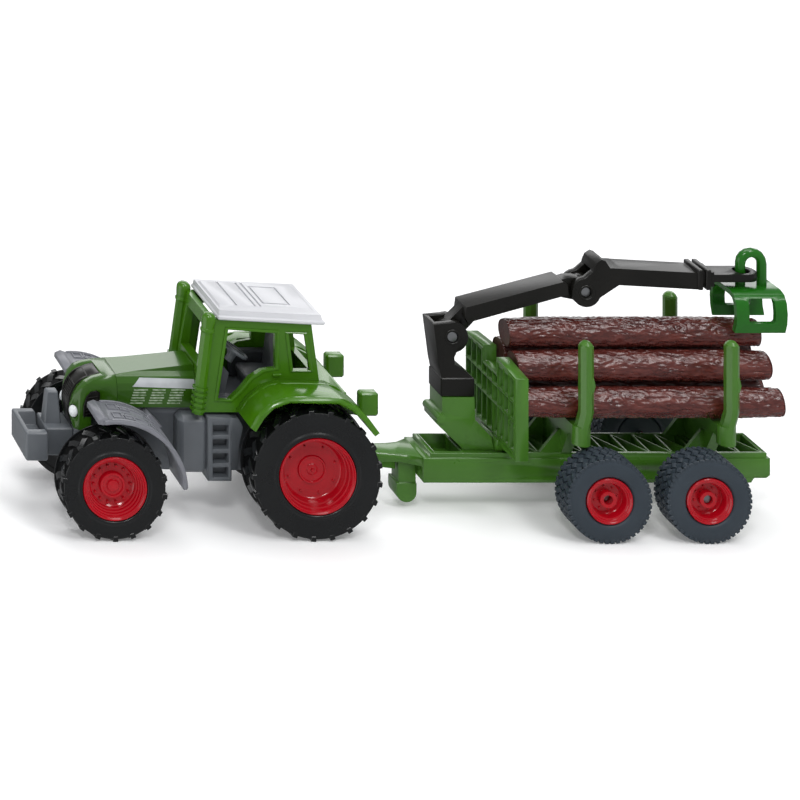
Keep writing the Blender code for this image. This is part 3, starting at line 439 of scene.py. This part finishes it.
def road_tyre(node, rim, blocks, inner_web):
    """A wide flotation tyre: round sidewalls and a close zig-zag block tread."""
    matrix, radius, width = wheel_frame(node)
    bm = bmesh.new()
    carcass, stand = radius - 0.42, 0.4         # the tread's floor, and its blocks' height
    carcass_ring(bm, [(rim - 0.05, width - 0.9), (rim + 0.3, width - 0.3),
                      (rim + 0.8, width - 0.05), (rim + 0.4 * (carcass - rim), width),
                      (rim + 0.7 * (carcass - rim), width - 0.12), (carcass - 0.4, width - 0.36),
                      (carcass + 0.02, width - 0.55), (carcass + 0.14, width - 0.8),
                      (carcass, width - 1.15), (carcass, width - 1.6)], width, inner_web)
    paint_groove_shade_faces(bm, carcass - 0.12, width)
    rows, notches = 5, 46
    pitch = math.tau / blocks
    edge = 0.75                                 # from a sidewall to the first row
    span = (width - 2 * edge) / rows
    for row in range(rows):
        low = edge + span * row
        lean = 1 if row % 2 else -1
        for k in range(blocks):
            middle = (k + 0.5 * (row % 2)) * pitch
            reach, half = lean * pitch * 0.3, radius * pitch * 0.31
            lug(bm, carcass, [(middle - reach, low + 0.1), (middle - reach * 0.2, low + span * 0.4),
                              (middle + reach * 0.2, low + span * 0.6),
                              (middle + reach, low + span - 0.1)], half + 0.05, half, stand)
    notch_half = math.tau / notches * 0.33
    for heights in ((0.3, edge + 0.35), (width - edge - 0.35, width - 0.3)):
        for angle in angles_round(notches):
            block(bm, (angle - notch_half, angle + notch_half), (carcass - 0.5, radius - 0.06),
                  heights, 0.08)
    tyre_piece(bm, node, matrix, radius, width, "block_tread_tyre")


def bolt_ring(bm, count, ring_r, height, size, rise, phase=0.0):
    """Round bolt heads in a circle, low domes on a short stem."""
    dome = [(size, -0.3), (size, rise * 0.5), (size * 0.8, rise * 0.85), (size * 0.4, rise)]
    for angle in angles_round(count):
        spin = angle + phase
        at = Vector((ring_r * math.cos(spin), ring_r * math.sin(spin), height))
        capped(bm, [[bm.verts.new(at + Vector((r * math.cos(a), r * math.sin(a), h)))
                     for a in angles_round(10)] for r, h in dome])


def rim_piece(node, tyre_node, profile, details):
    """A turned wheel rim, its profile given from the hub outwards, with cast details."""
    matrix, _, width = wheel_frame(tyre_node)
    bm = bmesh.new()
    turned(bm, [(r, width + h) for r, h in profile], RIM_STEPS)
    details(bm, width)
    scaled(bm, matrix)
    stand_for(mesh_of(node.replace("rim", "cast_rim"), bm, 30), node)


def hub_cap(bm, radius, low, rise):
    """A closed domed cap over the axle's end."""
    profile = [(radius, low - 0.4), (radius, low), (radius * 0.86, low + rise * 0.55),
               (radius * 0.55, low + rise * 0.9), (radius * 0.2, low + rise)]
    capped(bm, [[bm.verts.new((r * math.cos(a), r * math.sin(a), h))
                 for a in angles_round(40)] for r, h in profile])


# The rims' bolts and hub caps, at heights under the tyre's outer face.

def front_rim_details(bm, width):
    bolt_ring(bm, 14, 4.3, width - 3.0, 0.34, 0.5)
    hub_cap(bm, 1.5, width - 2.0, 0.55)


def rear_rim_details(bm, width):
    bolt_ring(bm, 8, 5.6, width - 4.05, 0.26, 0.36, 0.3)
    hub_cap(bm, 1.3, width - 3.85, 0.3)
    bolt_ring(bm, 1, 0.0, width - 3.6, 0.42, 0.4)


def trailer_rim_details(bm, width):
    bolt_ring(bm, 8, 2.7, width - 2.5, 0.26, 0.42, 0.2)


# Rim profiles as (radius, height over the tyre's outer face) in mm, round the closed section.
FRONT_RIM = [(1.08, -2.1), (1.6, -2.1), (2.2, -2.15), (2.35, -1.9), (2.55, -1.85),
             (2.85, -1.95), (3.0, -2.3), (3.1, -2.9), (3.6, -3.05), (4.9, -3.05), (5.2, -2.8),
             (5.35, -2.2), (5.6, -2.05), (5.75, -1.6), (6.0, -1.45), (6.15, -1.05), (6.4, -0.9),
             (6.55, -0.55), (6.8, -0.45), (7.0, -0.15), (7.25, -0.1), (7.42, -0.3), (7.42, -6.2),
             (6.9, -6.2), (5.2, -4.1), (1.08, -4.1)]
REAR_RIM = [(1.08, -3.9), (2.7, -3.95), (2.85, -3.65), (3.15, -3.6), (3.35, -4.0), (5.0, -4.1),
            (6.3, -4.1), (6.6, -3.95), (6.9, -3.5), (7.2, -2.4), (7.45, -2.25), (7.65, -1.4),
            (7.9, -1.25), (8.15, -0.5), (8.4, -0.4), (8.6, -0.08), (8.8, -0.1), (8.92, -0.35),
            (8.92, -7.6), (8.3, -7.6), (6.4, -5.4), (1.08, -5.4)]
TRAILER_RIM = [(1.08, -1.1), (1.62, -0.95), (1.9, -1.05), (1.95, -1.3), (1.95, -2.4), (3.4, -2.5),
               (3.7, -2.2), (3.85, -1.4), (4.1, -0.85), (4.35, -0.75), (4.5, -0.5), (4.75, -0.42),
               (4.95, -0.15), (5.15, -0.1), (5.32, -0.3), (5.32, -6.0), (4.8, -6.0), (3.6, -3.6),
               (1.08, -3.6)]


def wheels():
    """Each axle's name, tyre, bars or blocks in a row, rim radius, rim profile and details."""
    plans = (("front", field_tyre, 18, 7.5, FRONT_RIM, front_rim_details),
             ("rear", field_tyre, 21, 9.0, REAR_RIM, rear_rim_details),
             ("trailer_front", road_tyre, 32, 5.4, TRAILER_RIM, trailer_rim_details),
             ("trailer_rear", road_tyre, 32, 5.4, TRAILER_RIM, trailer_rim_details))
    for name, make_tyre, count, rim, rim_profile, details in plans:
        web = [(rim - 0.3, 0.45), (1.3, 0.55), (1.3, 0.85), (rim - 0.05, 0.85)]
        for side in ("left", "right"):
            make_tyre(f"{name}_tyre_{side}", rim, count, web)
            rim_piece(f"{name}_rim_{side}", f"{name}_tyre_{side}", rim_profile, details)


# ---------------------------------------------------------------- logs

KNOTS = {   # (mm from the log's front end, turn from straight up towards the near side) per log
    "log_1": ((21.2, 1.2), (44.0, 2.4)), "log_2": ((35.0, 0.4), (12.0, 2.2)),
    "log_3": ((28.0, -1.1), (52.0, 0.3)), "log_4": ((15.0, 1.3), (47.5, 0.9)),
    "log_5": ((33.0, -0.6), (9.0, -1.4)), "log_6": ((14.3, 0.75), (40.3, 0.85), (50.1, 1.15)),
}
# Loops of a cut end as (share of its radius, depth in mm), ridge and groove by turns.
GROWTH_RINGS = ((0.9, 0.0), (0.84, 0.1), (0.7, 0.02), (0.62, 0.1), (0.46, 0.02), (0.38, 0.1),
                (0.22, 0.02), (0.12, 0.1))
LOG_MARGIN = 0.14                   # mm, how far the bark stays inside the CAD log


def bark_height(x, angle, seed):
    """Depth of the bark in mm at a place on a log: sharp wavy crests along it, with finer ones."""
    y, z = 3.7 * math.cos(angle), 3.7 * math.sin(angle)
    drift = 0.9 * noise.noise(Vector((x * 0.16, y * 0.3, z * 0.3 + seed)))
    crests = noise.noise(Vector((x * 0.3 + seed, y * 1.15 + drift, z * 1.15 - drift)))
    fine = noise.noise(Vector((x * 0.55, y * 2.3 + seed, z * 2.3 + drift)))
    flakes = noise.noise(Vector((x * 1.3 + seed, y * 1.6, z * 1.6)))
    return min(0.2, 0.42 * abs(crests)) + 0.24 * abs(fine) + 0.1 * abs(flakes)


def log(node, seed):
    """A moulded log: barked cylinder, knots ringed by ripples, cut ends with growth rings."""
    low, high = box_mm(node)
    y, z, length = (low.y + high.y) / 2, (low.z + high.z) / 2, high.x - low.x
    radius = (high.z - low.z) / 2 - LOG_MARGIN
    along, around = 210, 100
    bm = bmesh.new()

    def point(x, angle, r):
        place = Vector((low.x + x, y - r * math.sin(angle), z + r * math.cos(angle)))
        return bm.verts.new(place * MM)

    rings = []
    for i in range(along + 1):
        x = length * i / along
        edge = min(x, length - x)
        corner, taper = 0.22 * max(0.0, 1 - edge / 0.35), 0.28 * max(0.0, 1 - edge / 10)
        ring = []
        for angle in angles_round(around):
            sunk = bark_height(x, angle, seed)
            for knot_x, knot_angle in KNOTS[node]:
                turn = (angle - knot_angle + math.pi) % math.tau - math.pi
                d = math.hypot((x - knot_x) / 1.35, turn * radius)
                if d < 2.6:
                    sunk += (0.09 - 0.17 * math.cos(d * 5.2)) * math.exp(-(d / 1.7) ** 2)
            ring.append(point(x, angle, radius - (max(sunk, 0.0) + corner + taper)))
        rings.append(ring)
    grid_faces(bm, rings)
    bark_faces = len(bm.faces)
    for x, outer in ((0.0, rings[0]), (length, rings[-1])):
        inward = 1 if x == 0.0 else -1
        loops = [outer]
        for share, depth in GROWTH_RINGS:
            loops.append([point(x + inward * depth, angle, share * (radius - 0.1)
                                * (1 + 0.03 * math.sin(3 * angle + seed)))
                          for angle in angles_round(around)])
        grid_faces(bm, loops)
        bm.faces.new(loops[-1])
    bm.faces.ensure_lookup_table()
    for face in bm.faces[bark_faces:]:
        face.material_index = 1
    piece = stand_for(mesh_of(node.replace("log", "barked_log"), bm, 50), node)
    piece.data.materials.append(CUT_END)


def logs():
    for number in range(1, 7):
        log(f"log_{number}", 7.3 * number)


# ---------------------------------------------------------------- small raised details

def panel(bm, grid, back):
    """A thin closed sheet: rows of points on its outer face, and the way to its inner face."""
    front = [[bm.verts.new(p) for p in row] for row in grid]
    rear = [[bm.verts.new(p + back) for p in row] for row in grid]
    last, end = len(grid) - 1, len(grid[0]) - 1
    for i in range(last):
        for j in range(end):
            bm.faces.new((front[i][j], front[i][j + 1], front[i + 1][j + 1], front[i + 1][j]))
            bm.faces.new((rear[i][j], rear[i + 1][j], rear[i + 1][j + 1], rear[i][j + 1]))
    rim = [(0, j) for j in range(end)] + [(i, end) for i in range(last)]
    rim += [(last, j) for j in range(end, 0, -1)] + [(i, 0) for i in range(last, 0, -1)]
    for (a, b), (c, d) in zip(rim, rim[1:] + rim[:1]):
        bm.faces.new((front[a][b], rear[a][b], rear[c][d], front[c][d]))


def ridge(bm, line, half, height, up, closed=False, crest=0.6):
    """A low raised bar along a line on a surface; up is the surface's outward direction, either
    one for all or one for each point."""
    line = [Vector(p) for p in line]
    ups = [Vector(u) for u in up] if isinstance(up, list) else [Vector(up)] * len(line)
    count = len(line)
    loops = []
    for i, point in enumerate(line):
        before = line[(i - 1) % count] if closed or i else line[0]
        after = line[(i + 1) % count] if closed or i < count - 1 else line[-1]
        side = (after - before).normalized().cross(ups[i]).normalized()
        loops.append([bm.verts.new(point + side * across + ups[i] * rise)
                      for across, rise in ((half, -0.15), (half, height * 0.55),
                                           (half * crest, height), (-half * crest, height),
                                           (-half, height * 0.55), (-half, -0.15))])
    if closed:
        grid_faces(bm, loops, closed=True)
    else:
        capped(bm, loops)


def detail(name, body, slot, draw, material=None):
    """One piece of raised details that rides with a body: draw fills a bmesh in mm."""
    bm = bmesh.new()
    draw(bm)
    scaled(bm)
    piece = mesh_of(name, bm, 35)
    piece.data.materials.append(material or SLOT_MATERIALS[slot])
    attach(piece, body)


# ---------------------------------------------------------------- tractor details

def hood_y(height):
    """Half the bonnet's width at a height over the bonnet's foot."""
    shoulder = [(0.0, 6.0), (3.92, 6.0), (5.52, 5.65), (6.82, 4.9), (7.72, 4.0), (10.0, 3.6)]
    for (low, wide), (high, narrow) in zip(shoulder, shoulder[1:]):
        if height <= high:
            return wide + (narrow - wide) * (height - low) / (high - low)
    return shoulder[-1][1]


def bonnet_stripe():
    """A plain silver flash along each side of the bonnet."""
    low, high = box_mm("bonnet")

    def draw(bm):
        for side in (-1, 1):
            grid = []
            for row in range(7):
                t = row / 6
                line = []
                for k in range(13):
                    x_share = k / 12
                    start = 3.6 + 1.9 * t
                    x = low.x + start + (high.x - 0.35 - low.x - start) * x_share
                    height = 4.8 - 0.45 * x_share + t * (1.8 + 0.15 * x_share)
                    line.append(Vector((x, side * (hood_y(height) + 0.07), low.z + height)))
                grid.append(line)
            panel(bm, grid, Vector((0, -side * 0.3, 0)))

    detail("bonnet_stripe", "tractor", "white_plastic", draw, SILVER)


def bonnet_louvres():
    """Three slanting groups of short pale dashes under the stripe."""
    low = box_mm("bonnet")[0]
    flank = hood_y(0.0) + 0.05

    def draw(bm):
        for side in (-1, 1):
            y = side * flank
            for group in range(3):
                for row in range(6):
                    height = 3.95 - 0.62 * row
                    x = low.x + 3.9 + 4.4 * group - 0.2 * row
                    length = 3.3 - 0.25 * ((row + group) % 2)
                    grid = [[Vector((x + dx, y, low.z + height + dz)) for dx in (0, length)]
                            for dz in (0.0, 0.3)]
                    panel(bm, grid, Vector((0, -side * 0.2, 0)))

    detail("bonnet_louvres", "tractor", "tractor_green", draw, PALE_DASH)


def headlight_lenses():
    """Oval lenses set flat into the nose's two corners."""
    for side, name in ((-1, "left"), (1, "right")):
        low, high = box_mm("headlight_" + name)
        centre, half = (low + high) / 2, (high - low) / 2
        out = Vector((-0.7, 0.7 * side, 0.1)).normalized()
        along = out.cross(Vector((0, 0, 1))).normalized()
        upright = along.cross(out) * half.z * 0.86
        wide, deep = along * half.x * 1.02, out * half.x * 0.62
        belts, around = 16, 32
        bm = bmesh.new()
        loops = []
        for i in range(1, belts):
            turn = math.pi * (i / belts - 0.5)
            loops.append([bm.verts.new(centre + upright * math.sin(turn)
                                       + (wide * math.cos(a) + deep * math.sin(a))
                                       * math.cos(turn)) for a in angles_round(around)])
        grid_faces(bm, loops)
        for loop, pole in ((loops[0], centre - upright), (loops[-1], centre + upright)):
            tip = bm.verts.new(pole)
            for k in range(around):
                bm.faces.new((loop[k], loop[(k + 1) % around], tip))
        scaled(bm)
        stand_for(mesh_of("lens_" + name, bm, 38), "headlight_" + name)


def grille_bars():
    """Slats and a framed upper panel that follow the grille's curve."""
    low = box_mm("grille")[0]
    line = [(low.x + dx, low.z + dz) for dx, dz in (
        (1.05, 0.9), (0.35, 2.7), (0.12, 5.0), (0.5, 7.25), (1.6, 9.2), (3.0, 10.55), (4.9, 11.5))]
    curve = smooth_line(line, 6)

    def at(share):
        """A place along the curve, as a share of its points, and the way out of the grille."""
        place = share * (len(curve) - 1)
        i = min(int(place), len(curve) - 2)
        point = curve[i].lerp(curve[i + 1], place - i)
        along = (curve[i + 1] - curve[i]).normalized()
        return point, Vector((-along.y, along.x))

    def draw(bm):
        for k in range(15):
            (x, z), out = at(0.03 + 0.6 * k / 14)
            ridge(bm, [(x, -2.3, z), (x, 2.3, z)], 0.1, 0.16, (out.x, 0, out.y))
        for y in (-2.55, 2.55):
            rail = [at(0.02 + 0.95 * k / 24) for k in range(25)]
            ridge(bm, [(p.x, y, p.y) for p, _ in rail], 0.17, 0.2, [(o.x, 0, o.y) for _, o in rail])
        for share in (0.66, 0.97):
            (x, z), out = at(share)
            ridge(bm, [(x, -2.5, z), (x, 2.5, z)], 0.15, 0.2, (out.x, 0, out.y))

    detail("grille_bars", "tractor", "black_plastic", draw)


def vent_slats():
    """Slanted slats and a raised border in each side vent of the nose."""
    for side, name in ((-1, "left"), (1, "right")):
        low, high = box_mm("side_vent_" + name)
        face = low.y if side < 0 else high.y

        def draw(bm):
            width, height = high.x - low.x, high.z - low.z
            for k in range(6):
                z = low.z + height * (0.1 + 0.12 * k)
                ridge(bm, [(low.x + width * 0.14, face, z), (high.x - width * 0.12, face, z + 0.5)],
                      0.13, 0.12, (0, side, 0))
            border = [(0.04, 0.0), (0.05, 0.42), (0.22, 0.76), (0.46, 0.94), (0.78, 0.98),
                      (0.97, 0.9), (0.97, 0.0)]
            ridge(bm, [(low.x + width * u, face, low.z + height * v) for u, v in border],
                  0.14, 0.18, (0, side, 0))

        detail("vent_slats_" + name, "tractor", "black_plastic", draw)


def front_fender_details():
    """Two small frames, long ribs and side rims on each front mudguard."""
    for side, name in ((-1, "left"), (1, "right")):
        radius = 16.3
        centre = Vector((box_mm("front_fender_" + name)[1].x - radius, 0, 12.0))

        def on_arc(angle, y):
            a = math.radians(angle)
            return (centre.x + radius * math.cos(a), side * y, centre.z + radius * math.sin(a))

        def up(angle):
            a = math.radians(angle)
            return (math.cos(a), 0, math.sin(a))

        def draw(bm):
            for y, start, end in ((8.55, 94, 2), (18.1, 94, 2), (11.2, 58, 14), (13.3, 62, 20),
                                  (15.4, 58, 14)):
                angles = [start + (end - start) * k / 22 for k in range(23)]
                ridge(bm, [on_arc(a, y) for a in angles], 0.26, 0.2, [up(a) for a in angles])
            for y in (10.2, 14.6):
                for first in (90.5, 81.0):
                    corners = [(first, y), (first, y + 2.5), (first - 7, y + 2.5), (first - 7, y)]
                    ridge(bm, [on_arc(a, at_y) for a, at_y in corners], 0.2, 0.26,
                          [up(a) for a, _ in corners], closed=True)

        detail("front_fender_ribs_" + name, "tractor", "grey_plastic", draw, FENDER_GREY)


def rear_fender_details():
    """Raised lines along the top of each rear fender."""
    low = box_mm("rear_fenders")[0]
    arch = [(0.3, 1.6), (2.25, 4.7), (5.2, 6.95), (9.05, 8.3), (20.6, 8.1), (24.1, 6.3),
            (27.0, 3.8), (29.2, 0.9)]
    line = smooth_line([(low.x + dx, 24.85 + dz) for dx, dz in arch], 5)
    ups = []
    for i in range(len(line)):
        along = (line[min(i + 1, len(line) - 1)] - line[max(i - 1, 0)]).normalized()
        ups.append((-along.y, 0, along.x))

    def draw(bm):
        for side in (-1, 1):
            for y in (17.6, 10.4):
                ridge(bm, [(p.x, side * y, p.y) for p in line], 0.3, 0.22, ups)

    detail("rear_fender_lines", "tractor", "tractor_green", draw, CAB_GREEN)


def intake_head(bm, side):
    """The ribbed, rounded head of the pipe that runs up beside the cab."""
    foot, head = Vector((-50.5, side * 9.3, 25.9)), Vector((-47.45, side * 8.8, 49.4))
    along = (head - foot).normalized()
    across = along.cross(Vector((0, 1, 0))).normalized()
    other = along.cross(across)
    capped(bm, [[bm.verts.new(foot.lerp(head, share)
                              + (across * math.cos(a) + other * math.sin(a)) * r)
                 for a in angles_round(28)]
                for share, r in ((0.8, 1.38), (0.815, 1.62), (0.83, 1.62), (0.845, 1.42),
                                 (0.87, 1.5), (0.91, 1.62), (0.95, 1.6), (0.975, 1.35),
                                 (0.99, 0.9), (0.996, 0.3))])


def cab_details():
    """Raised surrounds of the door and the rear window, handles, and the intakes' heads."""
    wall, front = 8.5, -49.5        # the cab's side and its windscreen's foot, in mm
    door = [(3.6, 28.4), (7.2, 28.4), (9.7, 30.75), (12.2, 33.75), (14.8, 35.4), (18.15, 35.9),
            (18.1, 44.6), (6.2, 45.4)]
    quarter = [(21.4, 35.4), (26.05, 35.4), (24.7, 44.2), (20.3, 44.4)]

    def draw(bm):
        for side in (-1, 1):
            for outline in (door, quarter):
                ridge(bm, [(front + x, side * wall, z) for x, z in outline], 0.42, 0.3,
                      (0, side, 0), closed=True, crest=0.1)
            ridge(bm, [(front + 17.0, side * wall, 34.4), (front + 18.9, side * wall, 34.5)], 0.3,
                  0.4, (0, side, 0))
            intake_head(bm, side)

    detail("cab_trim", "tractor", "tractor_green", draw, CAB_GREEN)


def tractor_details():
    bonnet_stripe()
    bonnet_louvres()
    headlight_lenses()
    grille_bars()
    vent_slats()
    front_fender_details()
    rear_fender_details()
    cab_details()


# ---------------------------------------------------------------- trailer and crane details

def headboard_lines():
    """Fine raised lines down the middle of the headboard's ribs, on its front."""
    low, high = box_mm("headboard")
    face, half = low.x + 0.6, high.y
    columns, top, notch_top, notch_half = 9, 35.35, 32.3, 3.2
    lip = notch_half + 0.4

    def draw(bm):
        pitch = (2 * half - 1.4) / columns
        for i in range(columns + 1):
            y = -half + 0.7 + i * pitch
            upper = notch_top if abs(y) < notch_half else top
            ridge(bm, [(face, y, 17.4), (face, y, upper)], 0.22, 0.2, (-1, 0, 0), crest=0.2)
        for z in (17.9, 25.3, 29.7):
            ridge(bm, [(face, -half + 0.4, z), (face, half - 0.4, z)], 0.22, 0.2, (-1, 0, 0),
                  crest=0.2)
        for side in (-1, 1):
            ridge(bm, [(face, side * (half - 0.4), 35.1), (face, side * lip, 35.6),
                       (face, side * lip, notch_top)], 0.15, 0.14, (-1, 0, 0))
        ridge(bm, [(face, -lip, notch_top), (face, lip, notch_top)], 0.15, 0.14, (-1, 0, 0))

    detail("headboard_lines", "trailer", "trailer_green", draw)


def deck_lines():
    """Raised rims round the tray at the front and round the whole deck."""
    top, flank = box_mm("trailer_frame")[1].z, 5.5

    def draw(bm):
        for front, rear, wide in ((7.05, 13.75, 4.55), (26.4, 85.2, 4.8)):
            ridge(bm, [(front, -wide, top), (rear, -wide, top), (rear, wide, top),
                       (front, wide, top)], 0.2, 0.2, (0, 0, 1), closed=True)
        for side in (-1, 1):
            ridge(bm, [(4.4, side * flank, 8.0), (4.4, side * flank, 13.1)], 0.16, 0.1,
                  (0, side, 0))

    detail("deck_lines", "trailer", "trailer_green", draw)


def pin_rings():
    """Raised collars round the crane's two hinge pins."""
    for pin, body, face in (("boom_pin", "crane_column", 3.2), ("elbow_pin", "jib", 3.1)):
        low, high = box_mm(pin)
        middle = (low + high) / 2

        def draw(bm):
            for side in (-1, 1):
                ring = [(middle.x + 1.62 * math.cos(a), side * face, middle.z + 1.62 * math.sin(a))
                        for a in angles_round(32)]
                ridge(bm, ring, 0.22, 0.16, (0, side, 0), closed=True)

        detail(f"{body}_pin_rings", body, "black_plastic", draw)


def trailer_details():
    headboard_lines()
    deck_lines()
    pin_rings()


# ---------------------------------------------------------------- floor, lights and camera

def stage():
    """A pale floor that glows a little, and an even pale world."""
    bpy.ops.mesh.primitive_plane_add(size=6.0)
    floor = bpy.context.object
    floor.name = "floor"
    paper = mottled("pale_floor", (0.9, 0.9, 0.905), (0.885, 0.885, 0.89), (0.55, 0.65), 0.02,
                    grain=3, patch=200, specular=0.1)
    shader = paper.node_tree.nodes["Principled BSDF"]
    shader.inputs["Emission Color"].default_value = (1.0, 1.0, 1.0, 1.0)
    shader.inputs["Emission Strength"].default_value = 0.14
    floor.data.materials.append(paper)
    floor.visible_glossy = False
    world = bpy.data.worlds.new("studio")
    bpy.context.scene.world = world
    bpy.context.scene.view_settings.view_transform = "Standard"
    world.use_nodes = True
    world.node_tree.nodes["Background"].inputs["Color"].default_value = (0.97, 0.98, 1.0, 1.0)
    world.node_tree.nodes["Background"].inputs["Strength"].default_value = 0.34


def area_light(name, place, target, size, power):
    data = bpy.data.lights.new(name, "AREA")
    data.shape = "RECTANGLE"
    data.size, data.size_y = size
    data.energy = power
    lamp = link(name, data)
    lamp.location = place
    lamp.rotation_euler = (Vector(target) - Vector(place)).to_track_quat("-Z", "Y").to_euler()
    lamp.visible_camera = False


def lights():
    area_light("overhead", (0.08, 0.08, 0.9), (0, 0, 0), (0.8, 0.5), 4.2)
    area_light("back_soft", (0.3, 0.9, 0.42), (0, 0, 0.03), (1.4, 0.35), 3.4)
    area_light("front_key", (-0.3, -0.65, 0.8), (0, 0, 0.02), (0.22, 0.16), 2.6)
    area_light("edge_glint", (0.37, -0.52, 0.86), (0, 0, 0.02), (0.3, 0.36), 3.0)
    area_light("left_panel", (-1.0, -0.15, -0.1), (0, 0, -0.1), (1.0, 1.2), 4.0)


# The photograph's camera stands square to the toy's side and looks at it through a strongly
# offset lens, so that side faces keep their shape. The offset is a slanted optical axis here.
VIEW_PLACE = Vector((-0.2636, -0.637, 0.3142))
VIEW_AXIS = Vector((0.4153, 1.0, -0.4545))     # towards the middle of the picture
VIEW_SCALE = 3.344                             # focal length in picture widths, across the toy


def camera():
    data = bpy.data.cameras.new("view")
    data.sensor_width = 36.0
    data.lens = data.sensor_width * VIEW_SCALE * VIEW_AXIS.length
    cam = link("view", data)
    holder = link("view_holder", None)
    back = -VIEW_AXIS.normalized()
    slant = Matrix(((1, 0, back.x, VIEW_PLACE.x), (0, 0, back.y, VIEW_PLACE.y),
                    (0, 1, back.z, VIEW_PLACE.z), (0, 0, 0, 1)))
    cam.parent = holder
    cam.matrix_parent_inverse = slant
    bpy.context.scene.camera = cam


wheels()
logs()
tractor_details()
trailer_details()
stage()
lights()
camera()
